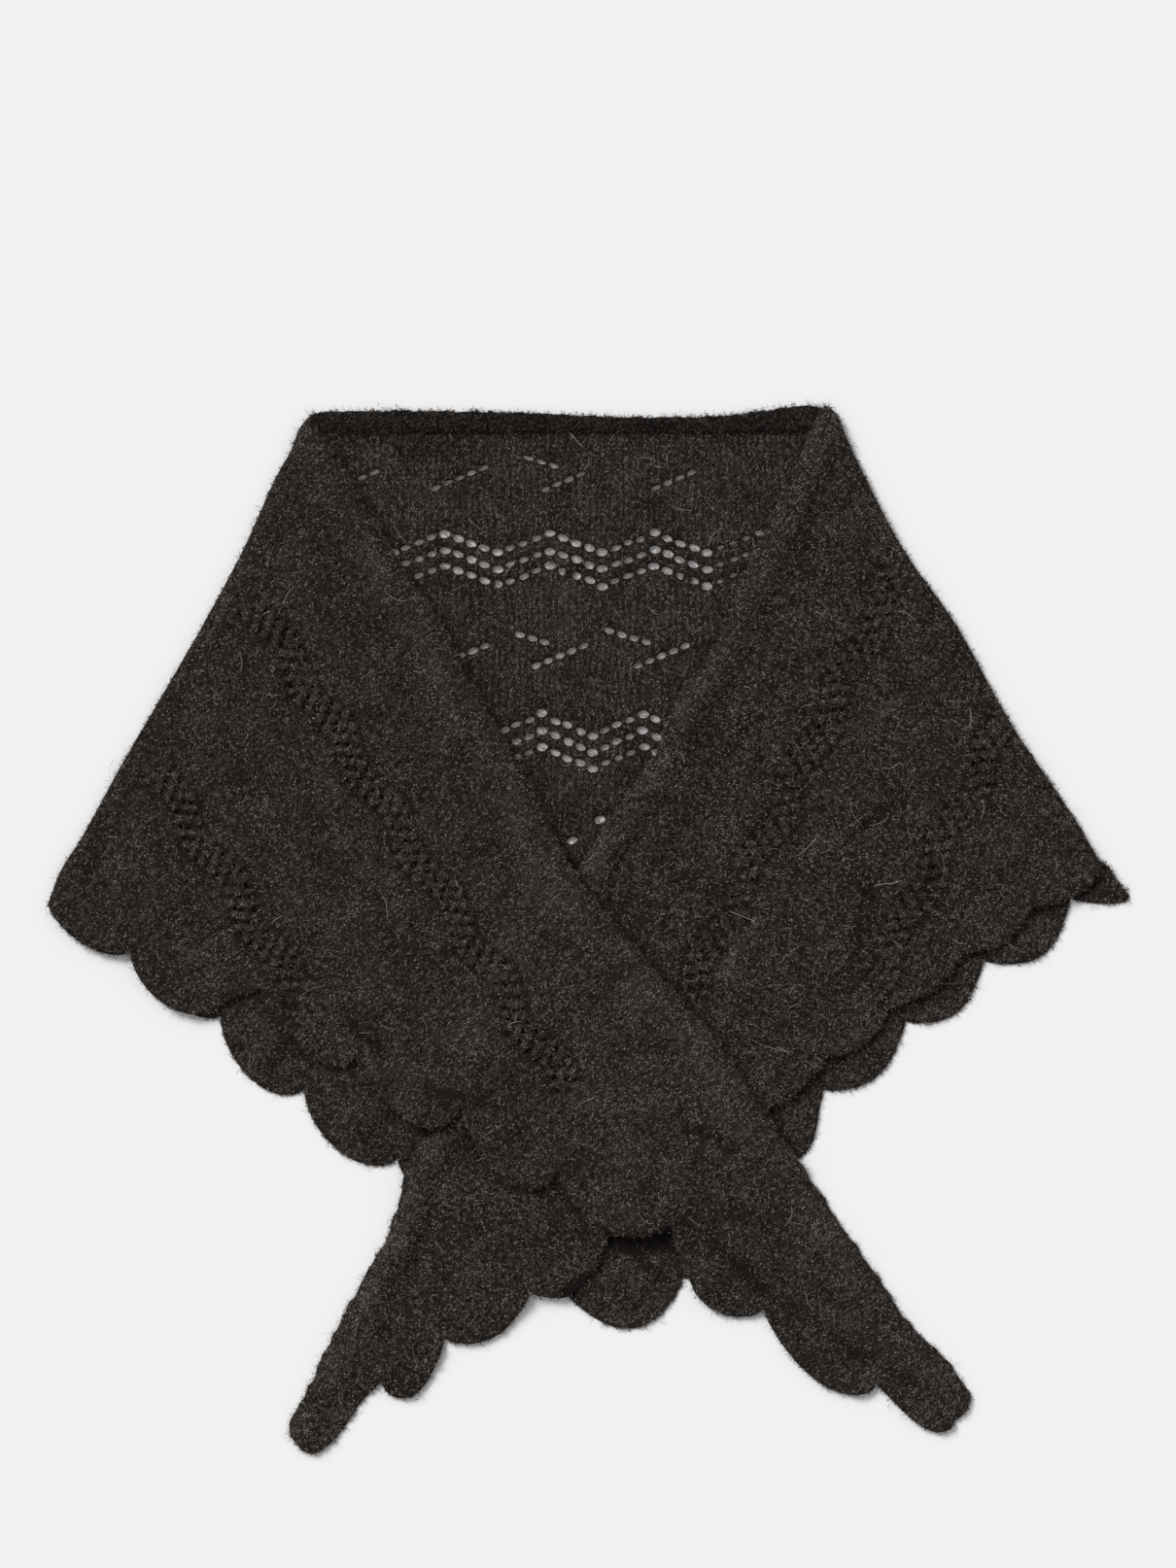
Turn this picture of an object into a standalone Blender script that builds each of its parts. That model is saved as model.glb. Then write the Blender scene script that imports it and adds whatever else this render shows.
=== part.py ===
"""Triangle shawl of brushed lace knit, laid flat on its face with both wings folded over the back.

One wide triangle is knitted in a piece. Its long edge curls into a band, and its two short edges
carry a scalloped edging. The back lies on the surface, the right wing lies on it, and the left
wing lies over both. Every piece is a closed wall: its flat outline, less its eyelets, is divided
into triangles and lifted to the height at which the cloth comes to rest.

Outlines are in millimetres, seen from above, with +Y towards the neck and Z up from the surface.
"""

import math

import bpy
from mathutils import Vector
from mathutils.bvhtree import BVHTree
from mathutils.geometry import delaunay_2d_cdt

# Driving sizes, in millimetres
MM = 0.001
WALL = 2.5
GAP = 0.3
EDGE_ROUNDING = 0.7
MESH_STEP = 17.0
BACK_STEP = 70.0
EDGING_STEP = 22.0
REACH = 20.0
SKY = 200.0

# How near to one another the points of a mesh may lie
SEED_SPACE = 8.5
RIM_SPACE = 6.8
ROW_SPACE = 3.0
# How close to a fold's row counts as on it, and how little an edge nears a fold to run along it
ON_ROW = 0.05
ALONG_FOLD = 1.0
CUT_TOLERANCE = 1e-5

# The rolled long edge
BAND_WIDTH = 22.0
BAND_ARCH = 3.6
NECK_ARCH = 2.6

# Where a wing folds over the back: inset from the fold, underside and top of the cloth there
FOLD_ROWS = ((0.0, 0.0, 3.0), (1.5, 0.0, 4.8), (3.6, 0.0, 5.9), (6.6, 2.9, 6.3))
FOLD_STEP = 12.0
BACK_INSET = 8.4

# The scalloped edging
LOBE_POINTS = 7
LOBE_FULLNESS = 0.65
HEM_CURL = 2.2
CURL_WIDTH = 12.0

# The eyelets
EYELET_LENGTH = 6.6
EYELET_HEIGHT = 4.8
HOLES_A_WAVE = 8
ROW_PITCH = 11.0
ZIGZAG_HEIGHT = 12.5
NECK_LINE = 345.0
EYELET_MARGIN = 6.0

# Fold edges, from the neck down: x, y
LEFT_FOLD_AT_BAND = ((-184, 344), (-197.5, 320))
LEFT_FOLD = ((-197.5, 320), (-205, 307), (-228, 257), (-283.5, 156.5), (-305, 120), (-338, 60))
LEFT_FOLD_END = ((-338, 60), (-352, 38), (-360, 17))
RIGHT_FOLD_AT_BAND = ((159, 350), (169, 337), (172.3, 330))
RIGHT_FOLD = ((172.3, 330), (187, 299), (211, 254), (245.5, 204.5), (282.5, 138), (329, 68), (336, 56))
RIGHT_FOLD_END = ((336, 56), (344, 42))

# The long edge: over the neck from left to right, then down each wing to its tip: x, y
NECK_EDGE = ((-182.3, 344.5), (-143, 346), (-44, 345), (31, 342), (101, 344), (127, 347.5), (154.6, 349))
NECK_SEAM = 331.8
NECK_DEPTH = 12.0
NECK_ENDS = (-177.6, 149.2)
BACK_TOP = (161, -180)
LEFT_EDGE = (
    (-183, 339), (-168, 317), (-143, 274), (-120, 237), (-98, 207), (-78, 165), (-58, 133),
    (-31, 83), (-3, 30), (21, 1), (57, -40), (94, -85), (113, -116), (144, -159), (169.5, -198),
    (186, -221), (201, -243), (215, -264), (235, -283), (246, -296), (256, -316), (252, -324),
)
RIGHT_EDGE = (
    (156, 347), (142, 313), (118, 265), (101, 227), (89, 193), (65, 162), (41, 109), (14, 73),
    (-4, 42), (-50, -42), (-103, -135), (-122, -162), (-124, -175), (-134.5, -207.5), (-146, -228),
    (-162, -257), (-178, -289), (-188, -311), (-199, -337), (-192, -347),
)

# How a wing's rows run: along its long edge from the neck, and across it towards the fold
LEFT_ALONG, LEFT_ACROSS = (0.543, -0.84), (-0.84, -0.543)
RIGHT_ALONG, RIGHT_ACROSS = (-0.445, -0.8955), (0.8955, -0.445)

# Seams between the knitted ground and its edging, from left to right: x, y
BACK_SEAM = (
    (-290, 5), (-175, -86), (-60, -173), (20, -228), (62, -192), (143, -88), (198, -42), (307, 39),
)
LEFT_SEAM = (
    (-290, 5), (-231, -32), (-145, -60), (-64, -88), (-5, -138), (66, -171), (88, -214),
    (130, -232), (169, -272),
)
RIGHT_SEAM = (
    (-127, -263), (-107, -255), (-52, -222), (-26, -214), (8, -180), (54, -140), (100, -100),
    (144, -64), (188, -30), (236, 4), (282, 34),
)
LEFT_TAIL_LINE = ((184, -256), (199, -278), (223, -302), (246, -319))
RIGHT_TAIL_LINE = ((-145, -262), (-158, -288), (-168, -312), (-184, -342))
# How many points of a long edge its band follows before it comes to the tail's line
LEFT_BAND_POINTS = 16
RIGHT_BAND_POINTS = 15

# Scallops: each row's lobe runs to the next row's notch and hangs below it by its bulge; a lean
# under 1 sets its fullest point nearer its own notch, over 1 nearer the next, and a swing turns
# it sideways: x, y, bulge, lean, swing
BACK_LOBES = (
    (-352, 14, 11, 0.9, 0), (-306, -7, 20, 0.72, 0), (-245, -57, 27, 0.68, 0.05),
    (-189, -105, 27, 0.68, 0.05), (-127, -152, 20, 0.9, 0), (-70, -196, 20, 0.9, 0),
    (-16, -240, 32, 1.25, 0), (64, -232, 15, 0.9, 0.4), (104, -166, 21, 1.25, 0.6),
    (158, -107, 19, 1.3, 0.2), (213, -61, 19, 1.3, 0.2), (265, -21, 22, 1.4, 0.2),
    (322, 20, 3, 1.2, 0), (358, 17, 0, 1.0, 0),
)
LAST_LOBE_CORNER = ((352, 32), (341.5, 33))
LEFT_LOBES = (
    (-360, 17, 14, 0.9, 0), (-305, -14, 22, 0.75, 0), (-246, -51, 0, 1.0, 0),
    (-218, -40, 22, 1.4, 0), (-155, -83, 28, 1.2, 0), (-75, -110, 36, 1.0, -0.6),
    (-19, -159, 26, 0.95, -0.1), (55, -193, 3, 1.0, 0), (70, -238, 13, 0.9, 0),
    (118, -253, 25, 0.98, 0), (192, -303, 19, 1.3, 0), (248, -328, 0, 1.0, 0),
)
RIGHT_LOBES = (
    (-137, -302, 23, 0.95, 0.1), (-95, -273, 17, 1.15, 0.1), (-38, -242, 3, 1.0, 0),
    (-12, -245, 5, 1.0, 0.5), (14, -203, 9, 1.0, 0.5), (66, -160, 9, 1.0, 0.5),
    (113, -120, 9, 1.0, 0.5), (158, -86, 9, 1.2, 0.5), (202, -52, 9, 1.2, 0.5),
    (250, -16, 9, 1.2, 0.5), (296, 14, 8, 1.2, 0.5), (344, 42, 0, 1.0, 0),
)
RIGHT_TIP = ((-184, -351), (-175, -347), (-165, -337), (-152, -318))

# Soft ridges in the wings: start x, y, end x, y, half-width, height
LEFT_RIDGES = (
    (60, -62, 196, -262, 15, 2.6), (-40, -20, 40, -168, 17, 1.8), (-150, 30, -120, -108, 18, 1.9),
    (-236, 70, -252, -40, 16, 1.6), (-205, 230, -120, 120, 20, 1.2),
)
RIGHT_RIDGES = (
    (-112, -178, -168, -306, 13, 2.4), (-84, -196, -74, -262, 12, 1.8), (180, 60, 158, -70, 18, 1.7),
    (262, 70, 240, -6, 15, 1.6), (150, 230, 120, 110, 20, 1.2),
)

# Zigzag bands of the neck window: distance of the upper row's crests from the long edge, the
# crest and wave that place it, its height, and its eyelets counted from that crest: distance,
# crest x, wave, height, first, last
NECK_ZIGZAGS = ((80.6, -25, 70.0, 12.8, -12, 16), (201.5, -30, 67.5, 14.3, -4, 10))
# Check marks between them: distance of the mark's foot, its x, holes going down, holes going up
NECK_CHECKS = (
    (53, -174, 0, 5), (50, -101, 0, 5), (51, -28, 3, 4), (50, 46, 0, 4),
    (169, -100, 0, 5), (169, -34, 3, 5), (169, 34, 4, 5), (286, -10, 0, 1), (272, 8.5, 0, 1),
)
CHECK_RISE = (7.9, 3.3)
CHECK_FALL = (8.2, 2.5)
CHECK_FALL_END = (5.4, 15.8)
# The middle row of each wing's zigzags: distance, a crest along the edge, wave, first, last
LEFT_ZIGZAGS = ((95, 52.8, 70.0, 1, 43), (205, 86, 68.0, 4, 27))
RIGHT_ZIGZAGS = ((93, 82, 70.0, -2, 34), (199, 92, 68.0, 3, 26))


def resampled(path, step):
    """The path's corners, with points between them at most a step apart."""
    points = [Vector(path[0])]
    for start, end in zip(path, path[1:]):
        a, b = Vector(start), Vector(end)
        parts = max(1, math.ceil((b - a).length / step))
        points += [a.lerp(b, i / parts) for i in range(1, parts + 1)]
    return points


def offset(path, distance):
    """The path moved to its left by the distance, square to it at each point."""
    points = [Vector(p) for p in path]
    moved = []
    for i, point in enumerate(points):
        along = points[min(i + 1, len(points) - 1)] - points[max(i - 1, 0)]
        moved.append(point + Vector((-along.y, along.x)).normalized() * distance)
    return moved


def scallops(rows):
    """The lobes of a hem from left to right, each a full bow hung on the line between two notches."""
    points = []
    for (x, y, bulge, lean, swing), (next_x, next_y, _, _, _) in zip(rows, rows[1:]):
        start, end = Vector((x, y)), Vector((next_x, next_y))
        hang = Vector((swing, -1)).normalized() * bulge
        count = LOBE_POINTS if bulge > 4 else 2
        for i in range(count):
            share = (1 - math.cos(math.pi * i / count)) / 2
            swell = math.sin(math.pi * share**lean) ** LOBE_FULLNESS
            points.append(start.lerp(end, share) + hang * swell)
    return points + [Vector(rows[-1][:2])]


def to_segment(point, a, b):
    """Distance from a point to the line between a and b."""
    line = b - a
    share = max(0.0, min(1.0, (point - a).dot(line) / max(line.length_squared, 1e-12)))
    return (point - a - line * share).length


def to_path(point, path):
    return min(to_segment(point, a, b) for a, b in zip(path, path[1:]))


def inside(point, loop):
    """Whether the closed loop goes round the point."""
    hit = False
    for a, b in zip(loop, loop[1:] + loop[:1]):
        if (a.y > point.y) != (b.y > point.y):
            if point.x < a.x + (point.y - a.y) / (b.y - a.y) * (b.x - a.x):
                hit = not hit
    return hit


def clear_inside(point, loop, margin):
    return inside(point, loop) and to_path(point, loop + loop[:1]) > margin


def eyelet(centre, along, sides):
    """The outline of one hole in the lace, its length set along its row."""
    across = Vector((-along.y, along.x))
    turns = [2 * math.pi * i / sides for i in range(sides)]
    return [
        centre
        + along * (EYELET_LENGTH / 2 * math.cos(turn))
        + across * (EYELET_HEIGHT / 2 * math.sin(turn))
        for turn in turns
    ]


def zigzag(position, crest, wave, height):
    """How far below its crests a zigzag row lies at a position along the band."""
    phase = abs((position - crest) / wave - round((position - crest) / wave))
    return 2 * phase * height


def neck_eyelets():
    """The lace that shows between the wings: three-row zigzags, with check marks between them."""
    along = Vector((1, 0))
    centres = []
    for distance, crest, wave, height, first, last in NECK_ZIGZAGS:
        for row in range(3):
            for i in range(first, last + 1):
                x = crest + i * wave / HOLES_A_WAVE
                fall = distance + row * ROW_PITCH + zigzag(x, crest, wave, height)
                centres.append(Vector((x, NECK_LINE - fall)))
    for distance, foot_x, falling, rising in NECK_CHECKS:
        foot = Vector((foot_x, NECK_LINE - distance))
        for i in range(rising):
            centres.append(foot + Vector(CHECK_RISE) * i)
        for i in range(falling):
            centres.append(foot + Vector(CHECK_FALL_END) + Vector((-CHECK_FALL[0], CHECK_FALL[1])) * i)
    return [eyelet(centre, along, 6) for centre in centres]


def wing_eyelets(zigzags, corner, along, across):
    """The middle row of each of a wing's zigzags, measured from its corner along its long edge."""
    corner, along, across = Vector(corner), Vector(along).normalized(), Vector(across).normalized()
    holes = []
    for distance, crest, wave, first, last in zigzags:
        for i in range(first, last + 1):
            position = crest + i * wave / HOLES_A_WAVE
            fall = distance + zigzag(position, crest, wave, ZIGZAG_HEIGHT)
            holes.append(eyelet(corner + along * position + across * fall, along, 4))
    return holes


def fold_seeds(fold, loop):
    """Points in rows beside a fold, one row for each of its insets."""
    seeds = []
    for inset, _, _ in FOLD_ROWS[1:]:
        row = offset(resampled(fold, FOLD_STEP), inset)
        seeds += [point for point in row if clear_inside(point, loop, 0.5 * inset)]
    return seeds


def fold_heights(inset):
    """Underside and top of the cloth at a distance from its fold, or None where it lies free."""
    for (near, low, high), (far, far_low, far_high) in zip(FOLD_ROWS, FOLD_ROWS[1:]):
        if inset <= far + ON_ROW:
            share = max(0.0, min(1.0, (inset - near) / (far - near)))
            return low + (far_low - low) * share, high + (far_high - high) * share
    return None


def stepped(loop, folds):
    """The loop, with a point at each fold inset where it runs away from a fold."""
    points = []
    for a, b in zip(loop, loop[1:] + loop[:1]):
        points.append(a)
        for fold in folds:
            start, end = to_path(a, fold), to_path(b, fold)
            if abs(end - start) < ALONG_FOLD:
                continue
            shares = sorted((inset - start) / (end - start) for inset, _, _ in FOLD_ROWS[1:])
            points += [a.lerp(b, share) for share in shares if 0.02 < share < 0.98]
    return points


def ground_seeds(loop, holes, step, taken):
    """A grid of points over the ground, clear of its outline, its eyelets and the points taken."""
    centres = [sum(hole, Vector((0, 0))) / len(hole) for hole in holes]
    low = Vector((min(p.x for p in loop), min(p.y for p in loop)))
    high = Vector((max(p.x for p in loop), max(p.y for p in loop)))
    rise = step * math.sqrt(3) / 2
    seeds = []
    for row in range(math.ceil((high.y - low.y) / rise)):
        for column in range(math.ceil((high.x - low.x) / step) + 1):
            point = low + Vector(((column + 0.5 * (row % 2)) * step, (row + 0.5) * rise))
            if not clear_inside(point, loop, RIM_SPACE):
                continue
            if all((point - c).length > SEED_SPACE for c in centres + taken):
                seeds.append(point)
    return seeds


class Pile:
    """The cloth that has been laid down so far, and the height of its top at any place."""

    def __init__(self):
        self.points = []
        self.faces = []
        self.tree = None

    def add(self, points, faces):
        """Adds a piece, which holds nothing up until its whole layer is down."""
        start = len(self.points)
        self.points += points
        self.faces += [[start + i for i in face] for face in faces]

    def finish_layer(self):
        self.tree = BVHTree.FromPolygons(self.points, self.faces)

    def top(self, x, y):
        hit = self.tree and self.tree.ray_cast(Vector((x, y, SKY)), Vector((0, 0, -1)))[0]
        return hit.z if hit else 0.0

    def rest_height(self, point):
        """Where a sheet laid here comes to rest, held up by whatever is within its reach."""
        highest = self.top(point.x, point.y)
        for ring in (0.25, 0.5, 0.75, 1.0):
            for i in range(16):
                turn = 2 * math.pi * (i + ring) / 16
                x = point.x + ring * REACH * math.cos(turn)
                y = point.y + ring * REACH * math.sin(turn)
                highest = max(highest, self.top(x, y))
        return highest + GAP if highest > 0 else 0.0


def ridge_lift(point, ridges):
    """Height of the soft ridges at a point."""
    lift = 0.0
    for x0, y0, x1, y1, half_width, height in ridges:
        a, b = Vector((x0, y0)), Vector((x1, y1))
        away = to_segment(point, a, b) / half_width
        if away < 1:
            lift = max(lift, height * (1 + math.cos(math.pi * away)) / 2)
    return lift


def band_lift(edge, arch):
    """Lift of a rolled band: an arch across its width."""
    path = [Vector(p) for p in edge]

    def lift(point):
        share = min(1.0, to_path(point, path) / BAND_WIDTH)
        return arch * math.sin(math.pi * share) if share > 0.08 else 0.0

    return lift


def ground_lift(ridges):
    return lambda point: ridge_lift(point, ridges)


def edging_lift(ridges, lobes):
    """Lift of an edging: the ground's ridges run on into it, and its rim curls up."""
    hem = scallops(lobes)

    def lift(point):
        rim = max(0.0, 1 - to_path(point, hem) / CURL_WIDTH)
        return ridge_lift(point, ridges) + HEM_CURL * rim * rim

    return lift


def laid_flat(_point):
    return 0.0


def cloth_material(name, colour):
    """Dark brushed wool: matt, with a soft sheen."""
    material = bpy.data.materials.new(name)
    material.use_nodes = True
    shader = material.node_tree.nodes["Principled BSDF"]
    shader.inputs["Base Color"].default_value = (*colour, 1)
    shader.inputs["Roughness"].default_value = 0.95
    shader.inputs["Metallic"].default_value = 0.0
    shader.inputs["Sheen Weight"].default_value = 0.3
    return material


def divided(loop, holes, seeds):
    """The loop less its holes as triangles: flat points, their input numbers and the faces."""
    flat, edges, rings = [], [], []
    for number, ring in enumerate([loop] + holes):
        start = len(flat)
        flat += ring
        rings += [number] * len(ring)
        edges += [(start + i, start + (i + 1) % len(ring)) for i in range(len(ring))]
    rings += [0] * len(seeds)
    points, _, faces, sources, _, _ = delaunay_2d_cdt(flat + seeds, edges, [], 1, CUT_TOLERANCE)
    sources = [source[0] for source in sources]
    # A triangle whose corners all lie on one eyelet's rim fills that eyelet
    kept = []
    for face in faces:
        ring = {rings[sources[corner]] for corner in face}
        if len(ring) > 1 or 0 in ring:
            kept.append(list(face))
    return points, sources, kept


def lay(name, colour, pile, loop, folds=(), holes=(), lift=laid_flat, step=MESH_STEP, rows=()):
    """Makes one piece of cloth as a closed wall and lays it on the pile."""
    loop = stepped(resampled(loop + loop[:1], step)[:-1], folds)
    holes = [hole for hole in holes if all(clear_inside(p, loop, EYELET_MARGIN) for p in hole)]
    taken = [seed for fold in folds for seed in fold_seeds(fold, loop)]
    taken += [Vector(p) for p in rows if clear_inside(Vector(p), loop, ROW_SPACE)]
    seeds = taken + ground_seeds(loop, holes, step, taken)
    flat, sources, faces = divided(loop, holes, seeds)
    undersides, tops = [], []
    for point, source in zip(flat, sources):
        inset = min((to_path(point, fold) for fold in folds), default=SKY)
        heights = fold_heights(inset)
        if heights:
            low, high = heights
        else:
            low = pile.rest_height(point) + lift(point)
            high = low + WALL - (EDGE_ROUNDING if source < len(loop) else 0.0)
        undersides.append((point.x, point.y, low))
        tops.append((point.x, point.y, high))
    count = len(flat)
    above = [[i + count for i in face] for face in faces]
    uses = {}
    for face in faces:
        for a, b in zip(face, face[1:] + face[:1]):
            uses[(a, b)] = True
    walls = [(a, b, b + count, a + count) for a, b in uses if (b, a) not in uses]
    mesh = bpy.data.meshes.new(name)
    corners = [(x * MM, y * MM, z * MM) for x, y, z in undersides + tops]
    mesh.from_pydata(corners, [], [face[::-1] for face in faces] + above + walls)
    mesh.update()
    mesh.shade_smooth()
    mesh.set_sharp_from_angle(angle=math.radians(40))
    piece = bpy.data.objects.new(name, mesh)
    piece.data.materials.append(cloth_material(name, colour))
    bpy.context.scene.collection.objects.link(piece)
    pile.add(tops, faces)
    return piece


def seam_sides(seam):
    """The two sides of a seam, half a gap to its left and to its right."""
    return offset(seam, GAP / 2), offset(seam, -GAP / 2)


def vectors(path):
    return [Vector(point) for point in path]


def lay_back(pile):
    """The middle of the triangle, face down on the surface, and its edging."""
    left = offset(LEFT_FOLD, BACK_INSET)
    right = offset(RIGHT_FOLD[::-1], BACK_INSET)
    seam = [left[-1]] + vectors(BACK_SEAM) + [right[0]]
    upper, lower = seam_sides(seam)
    top_corners = [Vector((x, NECK_SEAM - GAP)) for x in BACK_TOP]
    ground = left[1:-1] + upper + right[1:-1] + top_corners
    lay("back_panel", (0.024, 0.02, 0.018), pile, ground, holes=neck_eyelets(), step=BACK_STEP)
    left_end = offset(LEFT_FOLD_END, BACK_INSET)
    right_end = offset(RIGHT_FOLD_END[::-1], BACK_INSET)
    corner = vectors(LAST_LOBE_CORNER) + [right_end[0]]
    edging = left_end[1:-1] + scallops(BACK_LOBES) + corner + lower[::-1]
    lay("back_edging", (0.022, 0.018, 0.016), pile, edging, step=EDGING_STEP)


def lay_neck_band(pile):
    """The rolled edge behind the neck, which lies beside the back and under nothing."""
    seam = [Vector((x, NECK_SEAM)) for x in NECK_ENDS]
    inner = offset(resampled(seam, MESH_STEP), NECK_DEPTH / 3)
    outer = offset(inner, NECK_DEPTH / 3)
    band = resampled(seam, 2 * MESH_STEP) + vectors(NECK_EDGE[::-1])

    def lift(point):
        share = (point.y - NECK_SEAM) / NECK_DEPTH
        return NECK_ARCH * math.sin(math.pi * share) if 0.05 < share < 0.95 else 0.0

    lay("neck_band", (0.014, 0.011, 0.01), pile, band, lift=lift, rows=inner + outer)


def band_rows(edge, side):
    """Points down the middle of a rolled band, so that its arch is round."""
    path = resampled(edge, MESH_STEP)
    return [p for share in (0.25, 0.5, 0.75) for p in offset(path, side * share * BAND_WIDTH)]


def lay_right_wing(pile):
    """The right wing, folded over the back: its ground, its rolled front edge and its edging."""
    tail = vectors(RIGHT_TAIL_LINE)
    band_line = [Vector(RIGHT_FOLD[0])] + offset(RIGHT_EDGE, BAND_WIDTH)[1:RIGHT_BAND_POINTS] + tail
    ground_side, band_side = seam_sides(band_line)
    split = len(band_line) - len(tail) + 1
    upper, lower = seam_sides([tail[0]] + vectors(RIGHT_SEAM) + [Vector(RIGHT_FOLD_END[0])])
    fold, fold_end, fold_top = (
        vectors(stretch[::-1]) for stretch in (RIGHT_FOLD, RIGHT_FOLD_END, RIGHT_FOLD_AT_BAND)
    )
    ground = ground_side[:split] + upper[1:] + fold[1:-1]
    holes = wing_eyelets(RIGHT_ZIGZAGS, RIGHT_EDGE[0], RIGHT_ALONG, RIGHT_ACROSS)
    lay(
        "wing_right", (0.019, 0.015, 0.013), pile, ground, folds=[fold], holes=holes,
        lift=ground_lift(RIGHT_RIDGES),
    )
    band = vectors(RIGHT_EDGE) + band_side[::-1] + fold_top[1:]
    lay(
        "front_band_right", (0.021, 0.017, 0.015), pile, band, folds=[fold_top],
        lift=band_lift(RIGHT_EDGE, BAND_ARCH), rows=band_rows(RIGHT_EDGE, 1),
    )
    edging = vectors(RIGHT_TIP) + scallops(RIGHT_LOBES) + lower[::-1] + ground_side[split:]
    lay(
        "wing_right_edging", (0.018, 0.014, 0.012), pile, edging, folds=[fold_end],
        lift=edging_lift(RIGHT_RIDGES, RIGHT_LOBES),
    )


def lay_left_wing(pile):
    """The left wing, folded over the back and across the right wing."""
    tail = vectors(LEFT_TAIL_LINE)
    band_line = [Vector(LEFT_FOLD[0])] + offset(LEFT_EDGE, -BAND_WIDTH)[1:LEFT_BAND_POINTS] + tail
    band_side, ground_side = seam_sides(band_line)
    split = len(band_line) - len(tail) + 1
    upper, lower = seam_sides([Vector(LEFT_FOLD_END[0])] + vectors(LEFT_SEAM) + [tail[0]])
    fold, fold_end, fold_top = map(vectors, (LEFT_FOLD, LEFT_FOLD_END, LEFT_FOLD_AT_BAND))
    ground = fold[1:-1] + upper[:-1] + ground_side[:split][::-1]
    holes = wing_eyelets(LEFT_ZIGZAGS, LEFT_EDGE[0], LEFT_ALONG, LEFT_ACROSS)
    lay(
        "wing_left", (0.022, 0.018, 0.016), pile, ground, folds=[fold], holes=holes,
        lift=ground_lift(LEFT_RIDGES),
    )
    band = fold_top[:-1] + band_side + vectors(LEFT_EDGE[::-1])
    lay(
        "front_band_left", (0.024, 0.02, 0.018), pile, band, folds=[fold_top],
        lift=band_lift(LEFT_EDGE, BAND_ARCH), rows=band_rows(LEFT_EDGE, -1),
    )
    edging = fold_end[1:-1] + scallops(LEFT_LOBES) + ground_side[split:][::-1] + lower[::-1]
    lay(
        "wing_left_edging", (0.021, 0.017, 0.015), pile, edging, folds=[fold_end],
        lift=edging_lift(LEFT_RIDGES, LEFT_LOBES),
    )


def centre():
    """Moves every piece so that the origin lies under the middle of the whole shawl."""
    pieces = list(bpy.context.scene.objects)
    xs = [v.co.x for piece in pieces for v in piece.data.vertices]
    ys = [v.co.y for piece in pieces for v in piece.data.vertices]
    middle = Vector(((min(xs) + max(xs)) / 2, (min(ys) + max(ys)) / 2, 0))
    for piece in pieces:
        for vertex in piece.data.vertices:
            vertex.co -= middle


def build():
    for piece in list(bpy.data.objects):
        bpy.data.objects.remove(piece, do_unlink=True)
    pile = Pile()
    lay_back(pile)
    pile.finish_layer()
    lay_right_wing(pile)
    pile.finish_layer()
    lay_left_wing(pile)
    lay_neck_band(Pile())
    centre()


build()
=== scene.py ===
"""Triangle shawl of brushed lace knit, laid out flat with both wings folded forward and crossed.

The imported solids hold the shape, and the knitted cloth is laid over them here, from the lowest
layer up: the back, the rolled neck edge, the right wing, the left wing, then their brushed nap.
Outlines are in millimetres, seen from above, with +Y towards the neck.
"""

import math

import bpy
import numpy as np
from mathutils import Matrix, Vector
from mathutils.bvhtree import BVHTree
from mathutils.geometry import delaunay_2d_cdt


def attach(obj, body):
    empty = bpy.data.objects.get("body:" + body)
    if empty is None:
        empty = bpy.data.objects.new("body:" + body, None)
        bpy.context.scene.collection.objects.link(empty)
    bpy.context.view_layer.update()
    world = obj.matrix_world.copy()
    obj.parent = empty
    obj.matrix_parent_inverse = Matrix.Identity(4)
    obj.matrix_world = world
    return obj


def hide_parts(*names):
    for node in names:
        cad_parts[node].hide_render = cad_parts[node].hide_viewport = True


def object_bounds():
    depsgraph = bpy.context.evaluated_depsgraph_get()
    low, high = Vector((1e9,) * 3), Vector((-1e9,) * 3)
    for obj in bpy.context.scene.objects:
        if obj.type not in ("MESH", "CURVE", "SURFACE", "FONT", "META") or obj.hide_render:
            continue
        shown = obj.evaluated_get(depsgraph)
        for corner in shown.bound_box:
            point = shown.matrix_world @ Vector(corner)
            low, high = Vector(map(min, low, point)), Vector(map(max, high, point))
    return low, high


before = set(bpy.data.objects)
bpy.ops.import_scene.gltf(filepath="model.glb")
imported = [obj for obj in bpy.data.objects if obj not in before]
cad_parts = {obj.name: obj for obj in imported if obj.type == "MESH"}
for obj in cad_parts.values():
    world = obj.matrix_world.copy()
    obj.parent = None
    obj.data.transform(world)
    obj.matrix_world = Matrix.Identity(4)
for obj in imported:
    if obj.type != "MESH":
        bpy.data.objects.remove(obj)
solids_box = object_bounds()

# The back of the shawl is the middle of one wide triangle of lace knit, face down on the surface.
# It shows between the wings, where its eyelets let the surface through, and below them, where its
# knitted-on edging hangs out in scallops.
MM = 0.001
PLACE = np.array((1.0, 0.5))
BACK_THICK = 2.4
BACK_MESH = 4.4

LEFT_FOLD = ((-197.5, 320), (-205, 307), (-228, 257), (-283.5, 156.5), (-305, 120), (-338, 60))
LEFT_FOLD_END = ((-338, 60), (-352, 38), (-360, 17))
RIGHT_FOLD = ((172.3, 330), (187, 299), (211, 254), (245.5, 204.5), (282.5, 138), (329, 68), (336, 56))
RIGHT_FOLD_END = ((336, 56), (344, 42))
BACK_INSET = 8.4
NECK_SEAM = 331.8
BACK_TOP = (-180, 161)
BACK_SEAM = (
    (-290, 5), (-175, -86), (-60, -173), (20, -228), (62, -192), (143, -88), (198, -42), (307, 39),
)
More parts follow.
